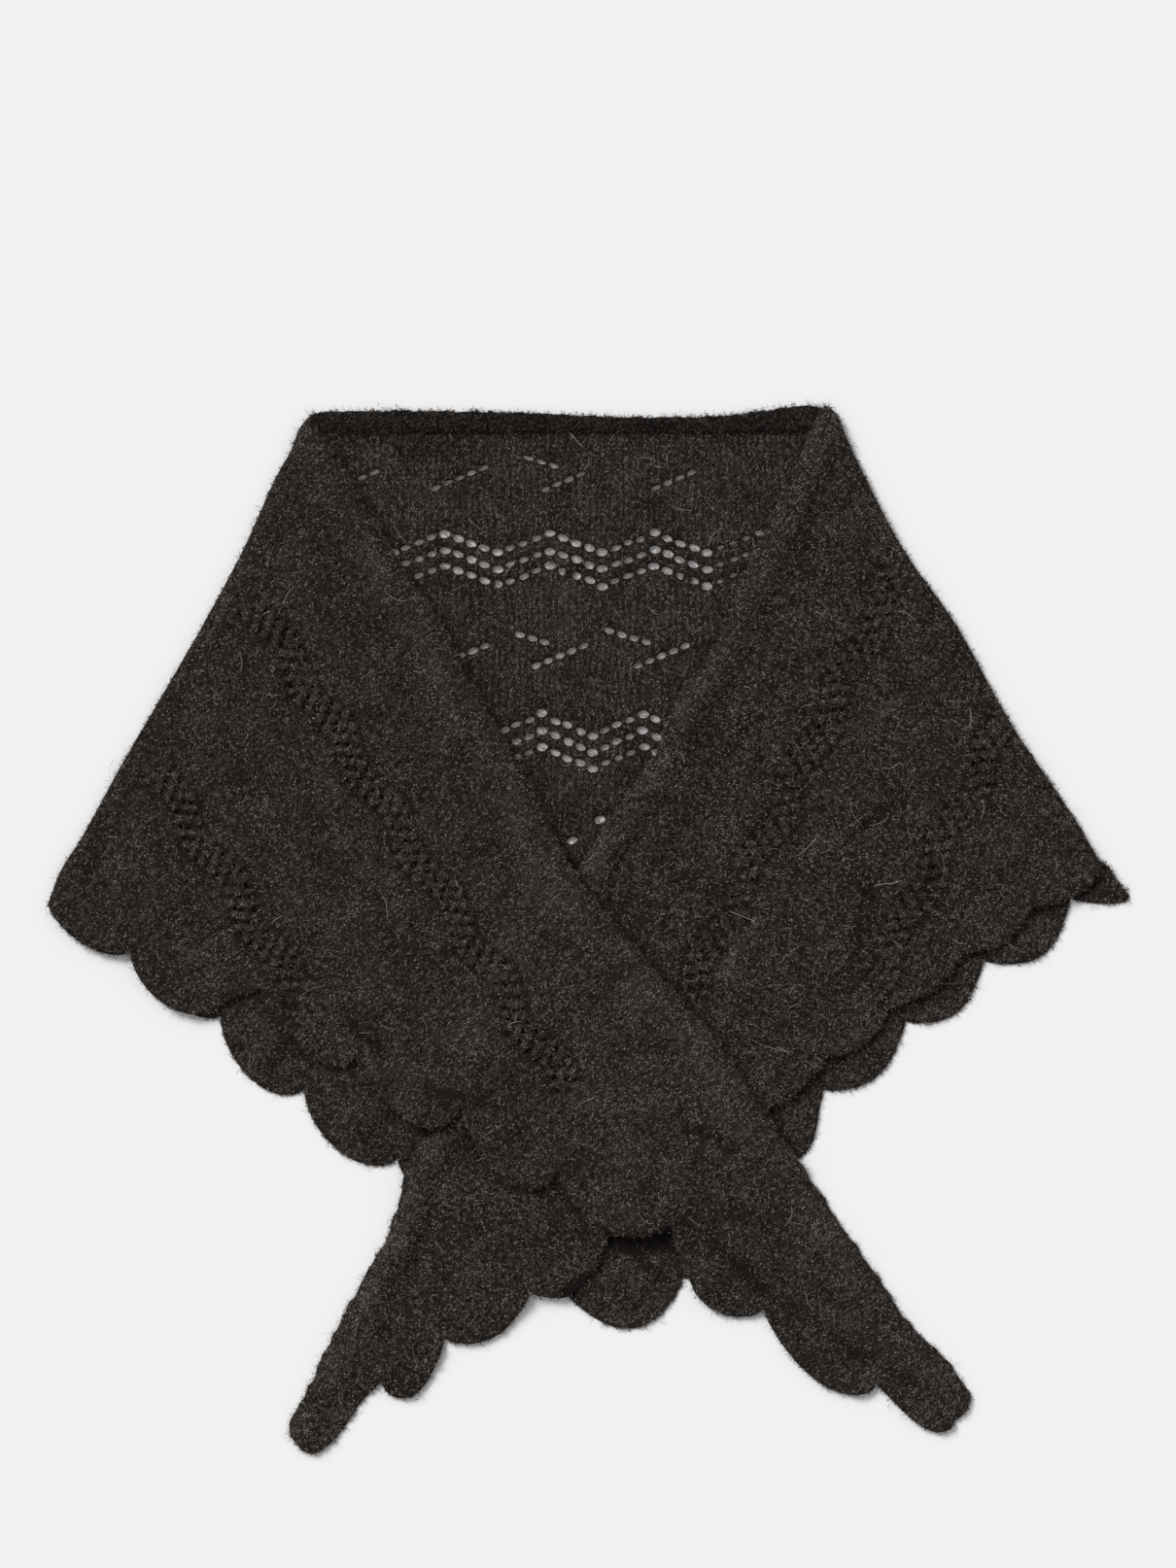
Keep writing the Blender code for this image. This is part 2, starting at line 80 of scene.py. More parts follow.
# Each lobe hangs from its own notch to the next: x, y, bulge, lean, swing
BACK_LOBES = (
    (-352, 14, 11, 0.9, 0), (-306, -7, 20, 0.72, 0), (-245, -57, 27, 0.68, 0.05),
    (-189, -105, 27, 0.68, 0.05), (-127, -152, 20, 0.9, 0), (-70, -196, 20, 0.9, 0),
    (-16, -240, 32, 1.25, 0), (64, -232, 15, 0.9, 0.4), (104, -166, 21, 1.25, 0.6),
    (158, -107, 19, 1.3, 0.2), (213, -61, 19, 1.3, 0.2), (265, -21, 22, 1.4, 0.2),
    (323, 20, 2.4, 1.2, 0), (360, 18.5, 0, 1.0, 0),
)
LAST_LOBE_CORNER = ((360, 18.5), (361.5, 20), (355, 31), (346, 43.5), (337, 46))

# Zigzags of the neck window: how far from the edge a crest lies, its x, wave, height, and the first
# and last eyelet counted from that crest
NECK_ZIGZAGS = ((80.6, -25, 70.0, 12.8, -12, 16), (201.5, -30, 67.5, 14.3, -4, 10))
# Check marks between them: distance of the mark's foot, its x, holes going down, holes going up
NECK_CHECKS = (
    (53, -174, 0, 5), (50, -101, 0, 5), (51, -28, 3, 4), (50, 46, 0, 4),
    (169, -100, 0, 5), (169, -34, 3, 5), (169, 34, 4, 5), (286, -10, 0, 1), (272, 8.5, 0, 1),
)
NECK_LINE = 345.0
HOLES_A_WAVE = 8
ROW_PITCH = 11.0
CHECK_RISE = np.array((7.9, 3.3))
CHECK_FALL = np.array((-8.2, 2.5))
CHECK_FALL_END = np.array((5.4, 15.8))
EYELET_SIZE = np.array((8.0, 4.9))
YARN_BETWEEN = 0.9
# Past this one, counted from the crest, the eyelets of a zigzag draw together near the right wing
LAST_OPEN = 12
DRAWN_SHARE = 0.8
EYELET_SIDES = 10
APRON = 1.1
# Length and height of the eyelets in the check marks, as shares, for those nearer than a distance
CHECK_SIZES = (((1.0, 0.7), 100), ((1.0, 0.92), 200), ((1.1, 1.15), 400))

# One dropped stitch, which shows through the left wing and the back under it: x, y, tilt, size
LONE_EYELET = np.array([(-191.1, 265.9, 0.3, 7.0, 4.6)])

# Soft troughs and ridges of the back: x, y, x, y, half-width, height. Through the relief the troughs are
# also painted darker, and the deep last one is mostly a painted shadow of the gap under the wings' hems
BACK_CREASES = (
    (-190, -70, -215, -92, 9, -0.6), (-120, -118, -150, -138, 9, -0.6), (30, -215, 48, -232, 8, -0.7),
    (110, -150, 128, -132, 8, -0.5), (-20, 250, -12, 190, 12, 0.35), (-120, 318, -60, 322, 10, -0.3),
    (20, -206, 56, -209, 12, -2.2),
)


def smooth_path(corners, step):
    """Points about a step apart on a smooth curve through the corners."""
    corners = np.array(corners, float)
    spans = np.linalg.norm(np.diff(corners, axis=0), axis=1)
    slopes = np.diff(corners, axis=0) / spans[:, None]
    middle = (slopes[:-1] * spans[1:, None] + slopes[1:] * spans[:-1, None]) / (
        spans[:-1, None] + spans[1:, None]
    )
    slopes = np.vstack([slopes[:1], middle, slopes[-1:]])
    points = [corners[:1]]
    for i, span in enumerate(spans):
        t = np.linspace(0, 1, max(2, math.ceil(span / step) + 1))[1:, None]
        points.append(
            (2 * t**3 - 3 * t**2 + 1) * corners[i]
            + (t**3 - 2 * t**2 + t) * span * slopes[i]
            + (3 * t**2 - 2 * t**3) * corners[i + 1]
            + (t**3 - t**2) * span * slopes[i + 1]
        )
    return np.vstack(points)


def beside(path, distance):
    """The path moved to its left by the distance, square to it at each point."""
    along = np.gradient(path, axis=0)
    along /= np.linalg.norm(along, axis=1)[:, None]
    return path + distance * np.stack([-along[:, 1], along[:, 0]], axis=1)


def uneven(path, amount, wave, seed):
    """The path with the slight waviness of a knitted edge, its two ends kept in place."""
    far = np.concatenate([[0], np.cumsum(np.linalg.norm(np.diff(path, axis=0), axis=1))])
    phases = np.random.default_rng(seed).uniform(0, 2 * math.pi, 3)
    sway = sum(
        np.sin(far * 2 * math.pi / (wave * share) + phase)
        for share, phase in zip((1.0, 0.61, 0.37), phases)
    )
    fade = np.clip(np.minimum(far, far[-1] - far) / wave, 0, 1)
    return beside(path, (amount / 3 * sway * fade)[:, None])


def scallops(lobes, points=26, fullness=0.62):
    """The rim of an edging: each lobe is a full bow hung on the line between two notches."""
    rim = []
    for (x, y, bulge, lean, swing), after in zip(lobes, lobes[1:]):
        start, end = np.array((x, y)), np.array(after[:2])
        share = (1 - np.cos(math.pi * np.arange(points) / points)) / 2
        swell = np.sin(math.pi * share**lean) ** fullness
        hang = np.stack([swing * swell**2.5, -swell], axis=1) * bulge / math.hypot(swing, 1)
        rim.append(start + (end - start) * share[:, None] + hang)
    return np.vstack(rim + [np.array(lobes[-1][:2])[None]])


def away(points, path):
    """How far each point lies from the path."""
    points = np.asarray(points, float)
    nearest = np.full(len(points), np.inf)
    for a, b in zip(path, path[1:]):
        line = b - a
        share = np.clip((points - a) @ line / max(line @ line, 1e-12), 0, 1)
        nearest = np.minimum(nearest, np.linalg.norm(points - a - share[:, None] * line, axis=1))
    return nearest


def inside(points, loop):
    """Which of the points the closed loop goes round."""
    hit = np.zeros(len(points), bool)
    x, y = points[:, 0], points[:, 1]
    for a, b in zip(loop, np.roll(loop, -1, axis=0)):
        if a[1] != b[1]:
            crosses = (a[1] > y) != (b[1] > y)
            hit ^= crosses & (x < a[0] + (y - a[1]) / (b[1] - a[1]) * (b[0] - a[0]))
    return hit


def zigzag(position, crest, wave, height):
    """How far below its crests a zigzag row lies at a position along the band."""
    waves = (position - crest) / wave
    return 2 * abs(waves - np.round(waves)) * height


def row_lean(number, slope):
    """How an eyelet of a zigzag leans and its share of full size: largest at a crest and below it."""
    step = number % HOLES_A_WAVE
    if step in (0, HOLES_A_WAVE // 2):
        return 0.0, 1.06
    falls = step < HOLES_A_WAVE / 2
    return (-1 if falls else 1) * math.atan(slope), (1.02 if falls else 0.86)


def neck_eyelets():
    """The eyelets between the wings: x, y, tilt, length and height of each, uneven as knitted."""
    rng = np.random.default_rng(4)
    eyelets = []
    for distance, crest, wave, height, first, last in NECK_ZIGZAGS:
        for row in range(3):
            for i in range(first, last + 1):
                x = crest + i * wave / HOLES_A_WAVE
                fall = distance + row * ROW_PITCH + zigzag(x, crest, wave, height)
                lean, share = row_lean(i, 2 * height / wave)
                share *= DRAWN_SHARE if i > LAST_OPEN else 1
                size = EYELET_SIZE * (share, share**1.5) * rng.uniform(0.86, 1.08, 2)
                size[0] = min(size[0], wave / HOLES_A_WAVE - YARN_BETWEEN)
                eyelets.append((*(rng.normal(0, 0.35, 2) + (x, NECK_LINE - fall)), lean, *size))
    for distance, foot_x, falling, rising in NECK_CHECKS:
        foot = np.array((foot_x, NECK_LINE - distance))
        share = next(share for share, limit in CHECK_SIZES if distance < limit)
        arms = ((CHECK_RISE, foot, rising), (CHECK_FALL, foot + CHECK_FALL_END, falling))
        for arm, start, count in arms:
            for i in range(count):
                size = EYELET_SIZE * share * rng.uniform(0.8, 1.0, 2)
                size[0] = min(size[0], np.linalg.norm(arm) - YARN_BETWEEN)
                eyelets.append((*(start + arm * i), math.atan(arm[1] / arm[0]), *size))
    return np.array(eyelets)


def search_tree(meshes, unit):
    """The faces of some meshes as one tree for casting rays, measured in the unit."""
    points, faces = [], []
    for mesh in meshes:
        start = len(points)
        points += [vertex.co / unit for vertex in mesh.vertices]
        faces += [[start + i for i in face.vertices] for face in mesh.polygons]
    return BVHTree.FromPolygons(points, faces)


class Lie:
    """How high the tops of some solids lie: a fine grid of heights in millimetres, softened."""

    STEP = 2.0
    SOFTNESS = 3.6
    MARGIN = 16
    SKY = 100

    def __init__(self, nodes):
        tree = search_tree([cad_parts[node].data for node in nodes], MM)
        low, high = solids_box
        self.corner = np.array((low.x, low.y)) / MM - self.MARGIN
        columns, rows = np.ceil((np.array((high.x, high.y)) / MM + self.MARGIN - self.corner) / self.STEP)
        heights = np.zeros((int(rows), int(columns)))
        known = np.zeros_like(heights)
        down = Vector((0, 0, -1))
        for row in range(int(rows)):
            y = self.corner[1] + row * self.STEP
            for column in range(int(columns)):
                hit = tree.ray_cast(Vector((self.corner[0] + column * self.STEP, y, self.SKY)), down)[0]
                if hit:
                    heights[row, column], known[row, column] = hit.z, 1
        self.grid = self.softened(heights) / np.maximum(self.softened(known), 1e-6)

    def softened(self, grid):
        reach = math.ceil(3 * self.SOFTNESS / self.STEP)
        steps = range(-reach, reach + 1)
        weights = np.exp([-0.5 * (i * self.STEP / self.SOFTNESS) ** 2 for i in steps])
        for axis in (0, 1):
            grid = sum(w * np.roll(grid, i, axis) for w, i in zip(weights / weights.sum(), steps))
        return grid

    def top(self, points):
        """The height at each point, between those of the grid."""
        place = np.clip((points + PLACE - self.corner) / self.STEP, 0, None)
        column = np.minimum(place[:, 0].astype(int), self.grid.shape[1] - 2)
        row = np.minimum(place[:, 1].astype(int), self.grid.shape[0] - 2)
        across, up = place[:, 0] - column, place[:, 1] - row
        lower = self.grid[row, column] * (1 - across) + self.grid[row, column + 1] * across
        upper = self.grid[row + 1, column] * (1 - across) + self.grid[row + 1, column + 1] * across
        return lower * (1 - up) + upper * up


def creased(points, creases):
    """The height of the soft ridges and troughs, which fade out towards their ends."""
    lift = np.zeros(len(points))
    for x0, y0, x1, y1, half_width, height in creases:
        a, line = np.array((x0, y0)), np.array((x1 - x0, y1 - y0))
        share = (points - a) @ line / (line @ line)
        off = np.linalg.norm(points - a - np.clip(share, 0, 1)[:, None] * line, axis=1) / half_width
        lift += height * np.where(off < 1, (1 + np.cos(math.pi * np.minimum(off, 1))) / 2, 0)
    return lift


def crossed_waves(points, wave, seed, number, longest):
    """The sum of some soft waves that cross at random, at each point."""
    rng = np.random.default_rng(seed)
    total = np.zeros(len(points))
    for _ in range(number):
        turn, phase = rng.uniform(0, 2 * math.pi, 2)
        length = wave * rng.uniform(0.6, longest)
        total += np.sin((points @ (math.cos(turn), math.sin(turn))) * 2 * math.pi / length + phase)
    return total


def puckered(points, seed, wave, height):
    """The slight unevenness of a soft knit that lies loose."""
    return crossed_waves(points, wave, seed, 24, 2.2) * height / math.sqrt(24)


def rounding(points, rims):
    """How full the cloth is at each point: 1 inside, and a round edge at each rim."""
    full = np.ones(len(points))
    for path, radius in rims:
        near = np.clip(away(points, path) / radius, 0, 1)
        full = np.minimum(full, np.sqrt(1 - (1 - np.maximum(near, 0.03)) ** 2))
    return full


def eyelet_rings(eyelets, swell):
    """The outlines of the eyelets, each turned by its tilt and let out by the swell."""
    turns = 2 * math.pi * np.arange(EYELET_SIDES) / EYELET_SIDES
    long = np.outer(eyelets[:, 3] / 2 + swell, np.cos(turns))
    high = np.outer(eyelets[:, 4] / 2 + swell, np.sin(turns))
    cos, sin = np.cos(eyelets[:, 2])[:, None], np.sin(eyelets[:, 2])[:, None]
    return eyelets[:, None, :2] + np.stack([long * cos - high * sin, long * sin + high * cos], axis=2)


def nearest_to(points, middles):
    """How far each point lies from the nearest middle."""
    nearest = np.full(len(points), np.inf)
    for middle in middles[:, :2]:
        nearest = np.minimum(nearest, np.linalg.norm(points - middle, axis=1))
    return nearest


cut_eyelets = {}


# The lowest underside and top of any cloth
CLOTH_BASE, CLOTH_TOP = 0.1, 1.0
KNOB_RING = 2.0


def knit_sheet(name, stretches, lie, rims, thick, spacing, eyelets=None, knobs=None, lift=None):
    """One piece of cloth as a closed wall: its outline, less its eyelets, laid on its solid's form."""
    loop = np.vstack([stretch[:-1] for stretch in stretches])
    rows = []
    for path, radius in rims:
        for share in (0.12, 0.45, 1.0):
            for side in (1, -1):
                row = beside(path, side * share * radius)
                row = row[inside(row, loop)]
                if len(row):
                    rows.append(row[away(row, path) > 0.8 * share * radius])
    low, high = loop.min(0), loop.max(0)
    rise = spacing * math.sqrt(3) / 2
    counts = np.ceil((high - low) / (spacing, rise)).astype(int) + 1
    column, line = np.meshgrid(np.arange(counts[0]), np.arange(counts[1]))
    grid = np.stack([(column + 0.5 * (line % 2)) * spacing, line * rise], axis=-1).reshape(-1, 2) + low
    grid = grid[inside(grid, loop)]
    grid = grid[away(grid, np.vstack([loop, loop[:1]])) > 0.45 * spacing]
    for path, radius in rims:
        grid = grid[away(grid, path) > radius + 0.45 * spacing]
    rings, aprons = np.zeros((0, EYELET_SIDES, 2)), np.zeros((0, 2))
    closed = np.vstack([loop, loop[:1]])
    if eyelets is not None:
        keep = inside(eyelets[:, :2], loop) & (away(eyelets[:, :2], closed) > eyelets[:, 3])
        eyelets = cut_eyelets[name] = eyelets[keep]
        rings = eyelet_rings(eyelets, 0.0)
        aprons = eyelet_rings(eyelets, APRON).reshape(-1, 2)
        grid = grid[nearest_to(grid, eyelets) > eyelets[:, 3].mean() / 2 + APRON + 0.3 * spacing]
        others = np.linalg.norm(aprons[:, None] - eyelets[None, :, :2], axis=2)
        aprons = aprons[np.sort(others, axis=1)[:, 1] > eyelets[:, 3].mean() / 2 + 0.7]
    if knobs is not None:
        knobs = knobs[inside(knobs[:, :2], loop) & (away(knobs[:, :2], closed) > 4)]
        across = np.full((len(knobs), 2), 2 * KNOB_RING)
        round_knobs = eyelet_rings(np.column_stack([knobs[:, :3], across]), 0.0)
        grid = grid[nearest_to(grid, knobs) > KNOB_RING + 0.4 * spacing]
        extra = np.vstack([knobs[:, :2], round_knobs.reshape(-1, 2)[::2]])
        extra = extra[nearest_to(extra, eyelets) > eyelets[:, 3].mean() / 2 + 0.5]
        aprons = np.vstack([aprons[nearest_to(aprons, knobs) > 2.5], extra])
    flat = np.vstack([loop, rings.reshape(-1, 2), *rows, aprons, grid])
    ring_of = np.zeros(len(flat), int)
    edges = [(i, (i + 1) % len(loop)) for i in range(len(loop))]
    for number in range(len(rings)):
        start = len(loop) + number * EYELET_SIDES
        ring_of[start : start + EYELET_SIDES] = number + 1
        edges += [(start + i, start + (i + 1) % EYELET_SIDES) for i in range(EYELET_SIDES)]
    points, _, faces, sources, _, _ = delaunay_2d_cdt([Vector(p) for p in flat], edges, [], 1, 1e-4)
    sources = np.array([source[0] for source in sources])
    faces = np.array([face for face in faces])
    corner_rings = ring_of[sources[faces]]
    filled = (corner_rings == corner_rings[:, :1]).all(1) & (corner_rings[:, 0] > 0)
    faces = faces[~filled]
    points = np.array(points)
    loose, relief = lift(points) if lift else np.zeros((2, len(points)))
    tops = np.maximum(lie.top(points) + loose + relief, CLOTH_TOP)
    lows = np.maximum(tops - thick, CLOTH_BASE)
    full = rounding(points, rims)
    full = np.where(ring_of[sources] > 0, 0.5, full)
    middle, half = (tops + lows) / 2, (tops - lows) / 2
    upper = np.column_stack([points + PLACE, middle + half * full])
    under = np.column_stack([points + PLACE, middle - half * full])
    count = len(points)
    used = {(a, b) for face in faces.tolist() for a, b in zip(face, face[1:] + face[:1])}
    walls = [(a, b, b + count, a + count) for a, b in sorted(used) if (b, a) not in used]
    mesh = bpy.data.meshes.new(name)
    shell = faces[:, ::-1].tolist() + (faces + count).tolist() + walls
    mesh.from_pydata((np.vstack([under, upper]) * MM).tolist(), [], shell)
    mesh.shade_smooth()
    mesh.set_sharp_from_angle(angle=math.radians(70))
    # The relief is kept on the cloth, and its material paints shade in troughs and a highlight on knobs
    # and ridges from it
    mesh.attributes.new("relief", "FLOAT", "POINT").data.foreach_set("value", np.tile(relief, 2))
    piece = bpy.data.objects.new(name, mesh)
    bpy.context.scene.collection.objects.link(piece)
    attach(piece, "root")
    return piece


class Shade:
    """A socket in a material's nodes, so that shader maths reads as Python."""

    def __init__(self, tree, socket=None):
        self.tree, self.socket = tree, socket

    def node(self, kind, settings=(), inputs=(), output=0):
        """Adds a node with its settings and its inputs' values or links."""
        made = self.tree.nodes.new(kind)
        for name, value in dict(settings).items():
            if name == "stops":
                for element, (place, tone) in zip(made.color_ramp.elements, value):
                    element.position, element.color = place, tone
            else:
                setattr(made, name, value)
        for name, value in dict(inputs).items():
            if isinstance(value, Shade):
                self.tree.links.new(value.socket, made.inputs[name])
            else:
                made.inputs[name].default_value = value
        return Shade(self.tree, made.outputs[output])

    def maths(self, operation, *others, before=()):
        values = (*before, self, *others)
        return self.node("ShaderNodeMath", {"operation": operation}, dict(enumerate(values)))

    def __add__(self, other):
        return self.maths("ADD", other)

    def __sub__(self, other):
        return self.maths("SUBTRACT", other)

    def __rsub__(self, other):
        return self.maths("SUBTRACT", before=(other,))

    def __mul__(self, other):
        return self.maths("MULTIPLY", other)

    __radd__ = __add__
    __rmul__ = __mul__

    def mixed(self, dark, pale):
        """A colour between two, by this socket."""
        return self.node(
            "ShaderNodeMix", {"data_type": "RGBA"}, {0: self, 6: dark, 7: pale}, output=2
        )


def wool(name, roughness, gloss):
    """A new wool material, with its tree and its shader."""
    material = bpy.data.materials.new(name)
    material.use_nodes = True
    shader = material.node_tree.nodes["Principled BSDF"]
    shader.inputs["Roughness"].default_value = roughness
    shader.inputs["Specular IOR Level"].default_value = gloss
    return material, material.node_tree, shader


def dress(piece, material, node):
    """Gives a piece of cloth its wool, and puts it in place of its solid."""
    piece.data.materials.append(material)
    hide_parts(node)


STITCH_WIDTH, STITCH_HEIGHT = 4.35, 3.1


def brushed_knit(name, turn, shadow, glint):
    """Brushed wool: columns of stitches that show faintly through a matted nap."""
    material, tree, shader = wool(name, 0.95, 0.06)
    place = Shade(tree).node("ShaderNodeTexCoord", output="Object")
    rows = place.node("ShaderNodeMapping", inputs={"Vector": place, "Rotation": (0, 0, turn)})
    waver = rows.node(
        "ShaderNodeTexNoise", inputs={"Vector": rows, "Scale": 110, "Detail": 2}, output="Fac"
    )
    split = rows.node("ShaderNodeSeparateXYZ", inputs={0: rows}, output="X")
    up = rows.node("ShaderNodeSeparateXYZ", inputs={0: rows}, output="Y")
    column = split * (1 / (STITCH_WIDTH * MM)) + waver * 1.6
    off_middle = (column.maths("FRACT") - 0.5).maths("ABSOLUTE") * 2
    leg = 1 - (off_middle - 0.5) * (off_middle - 0.5) * 4
    phase = up * (2 * math.pi / (STITCH_HEIGHT * MM)) + off_middle * 3.4 + waver * 5
    stitch = leg * (phase.maths("SINE") * 0.5 + 0.5)
    stretched = rows.node("ShaderNodeMapping", inputs={"Vector": rows, "Scale": (1, 0.5, 1)})
    fluff = rows.node(
        "ShaderNodeTexNoise",
        inputs={"Vector": stretched, "Scale": 620, "Detail": 3, "Roughness": 0.6, "Distortion": 0.6},
        output="Fac",
    )
    cloud = rows.node(
        "ShaderNodeTexNoise", inputs={"Vector": rows, "Scale": 60, "Detail": 3}, output="Fac"
    )
    height = fluff * 0.82 + stitch * 0.18
    bump = height.node(
        "ShaderNodeBump", inputs={"Height": height, "Strength": 0.9, "Distance": 1.6 * MM}
    )
    relief = rows.node("ShaderNodeAttribute", {"attribute_name": "relief"}, output="Fac")
    # The relief paints shade into troughs and dimples and a highlight onto knobs, ridges and rolls
    tone = height * 1.5 + cloud * 0.5 + relief * 0.25 - 0.85
    tone = tone.node("ShaderNodeClamp", inputs={"Value": tone})
    tree.links.new(tone.mixed((*shadow, 1), (*glint, 1)).socket, shader.inputs["Base Color"])
    tree.links.new(bump.socket, shader.inputs["Normal"])
    shader.inputs["Sheen Weight"].default_value = 0.06
    shader.inputs["Sheen Roughness"].default_value = 0.5
    return material


back_knit = brushed_knit("brushed_knit_back", 0.0, (0.0085, 0.0066, 0.0056), (0.085, 0.068, 0.058))
back_lie = Lie(["back_panel", "back_edging"])

left_inner = beside(smooth_path(LEFT_FOLD, 5), BACK_INSET)
right_inner = beside(smooth_path(RIGHT_FOLD[::-1], 5), BACK_INSET)
back_seam = smooth_path((left_inner[-1], *BACK_SEAM, right_inner[0]), 4)
neck_seam = np.array([(x, NECK_SEAM) for x in np.arange(BACK_TOP[1], BACK_TOP[0] - 1, -5.0)])
side_down = np.vstack([neck_seam[-1:], left_inner[1:]])
side_up = np.vstack([right_inner[:-1], neck_seam[:1]])


def back_lift(points):
    return puckered(points, 3, 18, 0.22), creased(points, BACK_CREASES)


back = knit_sheet(
    "back_knit", [side_down, back_seam, side_up, neck_seam], back_lie,
    [(side_down, 1.5), (side_up, 1.5)], BACK_THICK, BACK_MESH,
    eyelets=np.vstack([neck_eyelets(), LONE_EYELET]), lift=back_lift,
)
left_end = beside(smooth_path(LEFT_FOLD_END, 5), BACK_INSET)
right_end = beside(smooth_path(RIGHT_FOLD_END[::-1], 5), BACK_INSET)
back_hem = scallops(BACK_LOBES)
back_side_end = np.vstack([left_inner[-1:], left_end[1:-1], back_hem[:1]])
back_side_start = np.vstack([smooth_path((*LAST_LOBE_CORNER, right_end[0]), 4), right_inner[:1]])
back_edging = knit_sheet(
    "back_scallops", [back_side_end, back_hem, back_side_start, back_seam[::-1]], back_lie,
    [(back_hem, 1.6)], BACK_THICK, 4.0, lift=back_lift,
)
dress(back, back_knit, "back_panel")
dress(back_edging, back_knit, "back_edging")

# The long edge of the triangle is left unfinished, and plain knit curls there into a soft roll.
# Behind the neck it lies bare and shows its other face, and its wool is coloured darker than the
# ground's.
NECK_EDGE = ((-182.3, 344.5), (-143, 346), (-44, 345), (31, 342), (101, 344), (127, 347.5), (154.6, 349))
NECK_ENDS = (-181.6, 153.2)
# Where the roll goes on under the folds
NECK_TUCKS = ((-186, 343.6), (158.6, 347.6))
NECK_THICK = 4.6
NECK_MESH = 3.0

neck_knit = brushed_knit("brushed_knit_neck", 0.0, (0.0040, 0.0031, 0.0026), (0.030, 0.0235, 0.020))
neck_outer = uneven(smooth_path((NECK_TUCKS[1], *NECK_EDGE[::-1], NECK_TUCKS[0]), 3), 0.8, 26, 5)
neck_inner = np.array([(x, NECK_SEAM) for x in np.linspace(*NECK_ENDS, 80)])
neck_roll = knit_sheet(
    "neck_roll",
    [neck_inner, np.vstack([neck_inner[-1:], neck_outer[:1]]), neck_outer,
     np.vstack([neck_outer[-1:], neck_inner[:1]])],
    Lie(["neck_band"]), [(neck_outer, 3.0), (neck_inner, 1.6)], NECK_THICK, NECK_MESH,
)
dress(neck_roll, neck_knit, "neck_band")

# The right wing is folded over the back along its outer side, so that its long edge runs down the
# front as a soft roll, its eyelets lie on cloth, and its edging ends a little inside the back's.
WING_THICK = 2.0
WING_MESH = 3.6
FOLD_RADIUS = 4.0
ROLL_WIDTH = 22.0
ROLL_THICK = 3.4
EDGE_RADIUS, HEM_RADIUS = 3.4, 1.6
RIGHT_FOLD_AT_BAND = ((159, 350), (165.5, 345.5), (169.6, 338), (172.3, 330))
RIGHT_EDGE = (
    (156, 347), (142, 313), (118, 265), (101, 227), (89, 193), (65, 162), (41, 109), (14, 73),
    (-4, 42), (-50, -42), (-103, -135), (-122, -162), (-124, -175), (-134.5, -207.5), (-146, -228),
    (-162, -257), (-178, -289), (-188, -311), (-199, -337), (-192, -347),
)
RIGHT_ROLL_ROWS = 15
RIGHT_TAIL_LINE = ((-145, -262), (-158, -288), (-168, -312), (-184, -342))
RIGHT_SEAM = (
    (-127, -263), (-107, -255), (-52, -222), (-26, -214), (8, -180), (54, -140), (100, -100),
    (144, -64), (188, -30), (236, 4), (282, 34),
)
RIGHT_LOBES = (
    (-137, -302, 23, 0.95, 0.1), (-95, -273, 17, 1.15, 0.1), (-38, -242, 3, 1.0, 0),
    (-12, -245, 5, 1.0, 0.5), (14, -203, 9, 1.0, 0.5), (66, -160, 9, 1.0, 0.5),
    (113, -120, 9, 1.0, 0.5), (158, -86, 9, 1.2, 0.5), (202, -52, 9, 1.2, 0.5),
    (250, -16, 9, 1.2, 0.5), (296, 14, 8, 1.2, 0.5), (344, 42, 0, 1.0, 0),
)
RIGHT_TIP = (
    (-184, -342), (-192, -347), (-184, -351), (-175, -347), (-165, -337), (-152, -318), (-137, -302),
)
RIGHT_ALONG, RIGHT_ACROSS = np.array((-0.445, -0.8955)), np.array((0.8955, -0.445))
# Middle row of each zigzag: distance from the long edge, a crest along it, wave, first, last
RIGHT_ZIGZAGS = ((90, 86, 69.0, -2, 35), (198, 82, 68.0, 5, 30))
WING_EYELET = np.array((4.2, 2.8))
WING_ROW_PITCH, ZIGZAG_HEIGHT = 6.7, 9.8
KNOB_HEIGHT, FURROW_DEPTH, DIMPLE_DEPTH = 1.5, 1.2, 0.55
KNOB_REACH, FURROW_REACH, DIMPLE_REACH, LACE_FADE = 2.5, 1.2, 1.5, 6.0
# Furrows beside the rows, as row pitches from the middle row, and their shares of the full depth
LACE_FURROWS = ((-1.5, 1.0), (-0.5, 0.8), (0.5, 0.8), (1.5, 1.0))
# Near a fold an eyelet would show the surface past the back, so the knit is plain there
FOLD_CLEAR = 14.0
# Soft troughs and ridges of the right wing: x, y, x, y, half-width, height. Through the relief the
# troughs are also painted darker and the ridges paler, and the deep last one is mostly a painted shadow
# of the gap at the hems
RIGHT_CREASES = (
    (206, 86, 176, 60, 7, -1.1), (112, 140, 93, 116, 7, -0.9), (150, 290, 143, 255, 8, -0.8),
    (60, 60, 30, 20, 9, -0.6), (120, 20, 90, -30, 10, 0.7), (-112, -178, -168, -306, 13, 0.4),
    (190, 30, 178, -20, 8, -0.8), (230, 40, 222, 0, 7, -0.8), (-12, -242, 48, -206, 7, -1.8),
)


def wing_eyelets(zigzags, corner, along, across, shift=0.0):
    """A wing's zigzags of three rows, measured along its long edge; shifted, what lies between."""
    rng = np.random.default_rng(6)
    eyelets = []
    for distance, crest, wave, first, last in zigzags:
        for row in (-1, 0, 1):
            for i in range(first, last + 1):
                position = crest + (i + shift + (row == 0) / 2) * wave / HOLES_A_WAVE
                fall = distance + row * WING_ROW_PITCH + zigzag(position, crest, wave, ZIGZAG_HEIGHT)
                place = np.array(corner) + along * position + across * fall + rng.normal(0, 0.4, 2)
                size = WING_EYELET * rng.uniform(0.75, 1.2, 2)
                eyelets.append((*place, math.atan2(along[1], along[0]), *size))
    return np.array(eyelets)


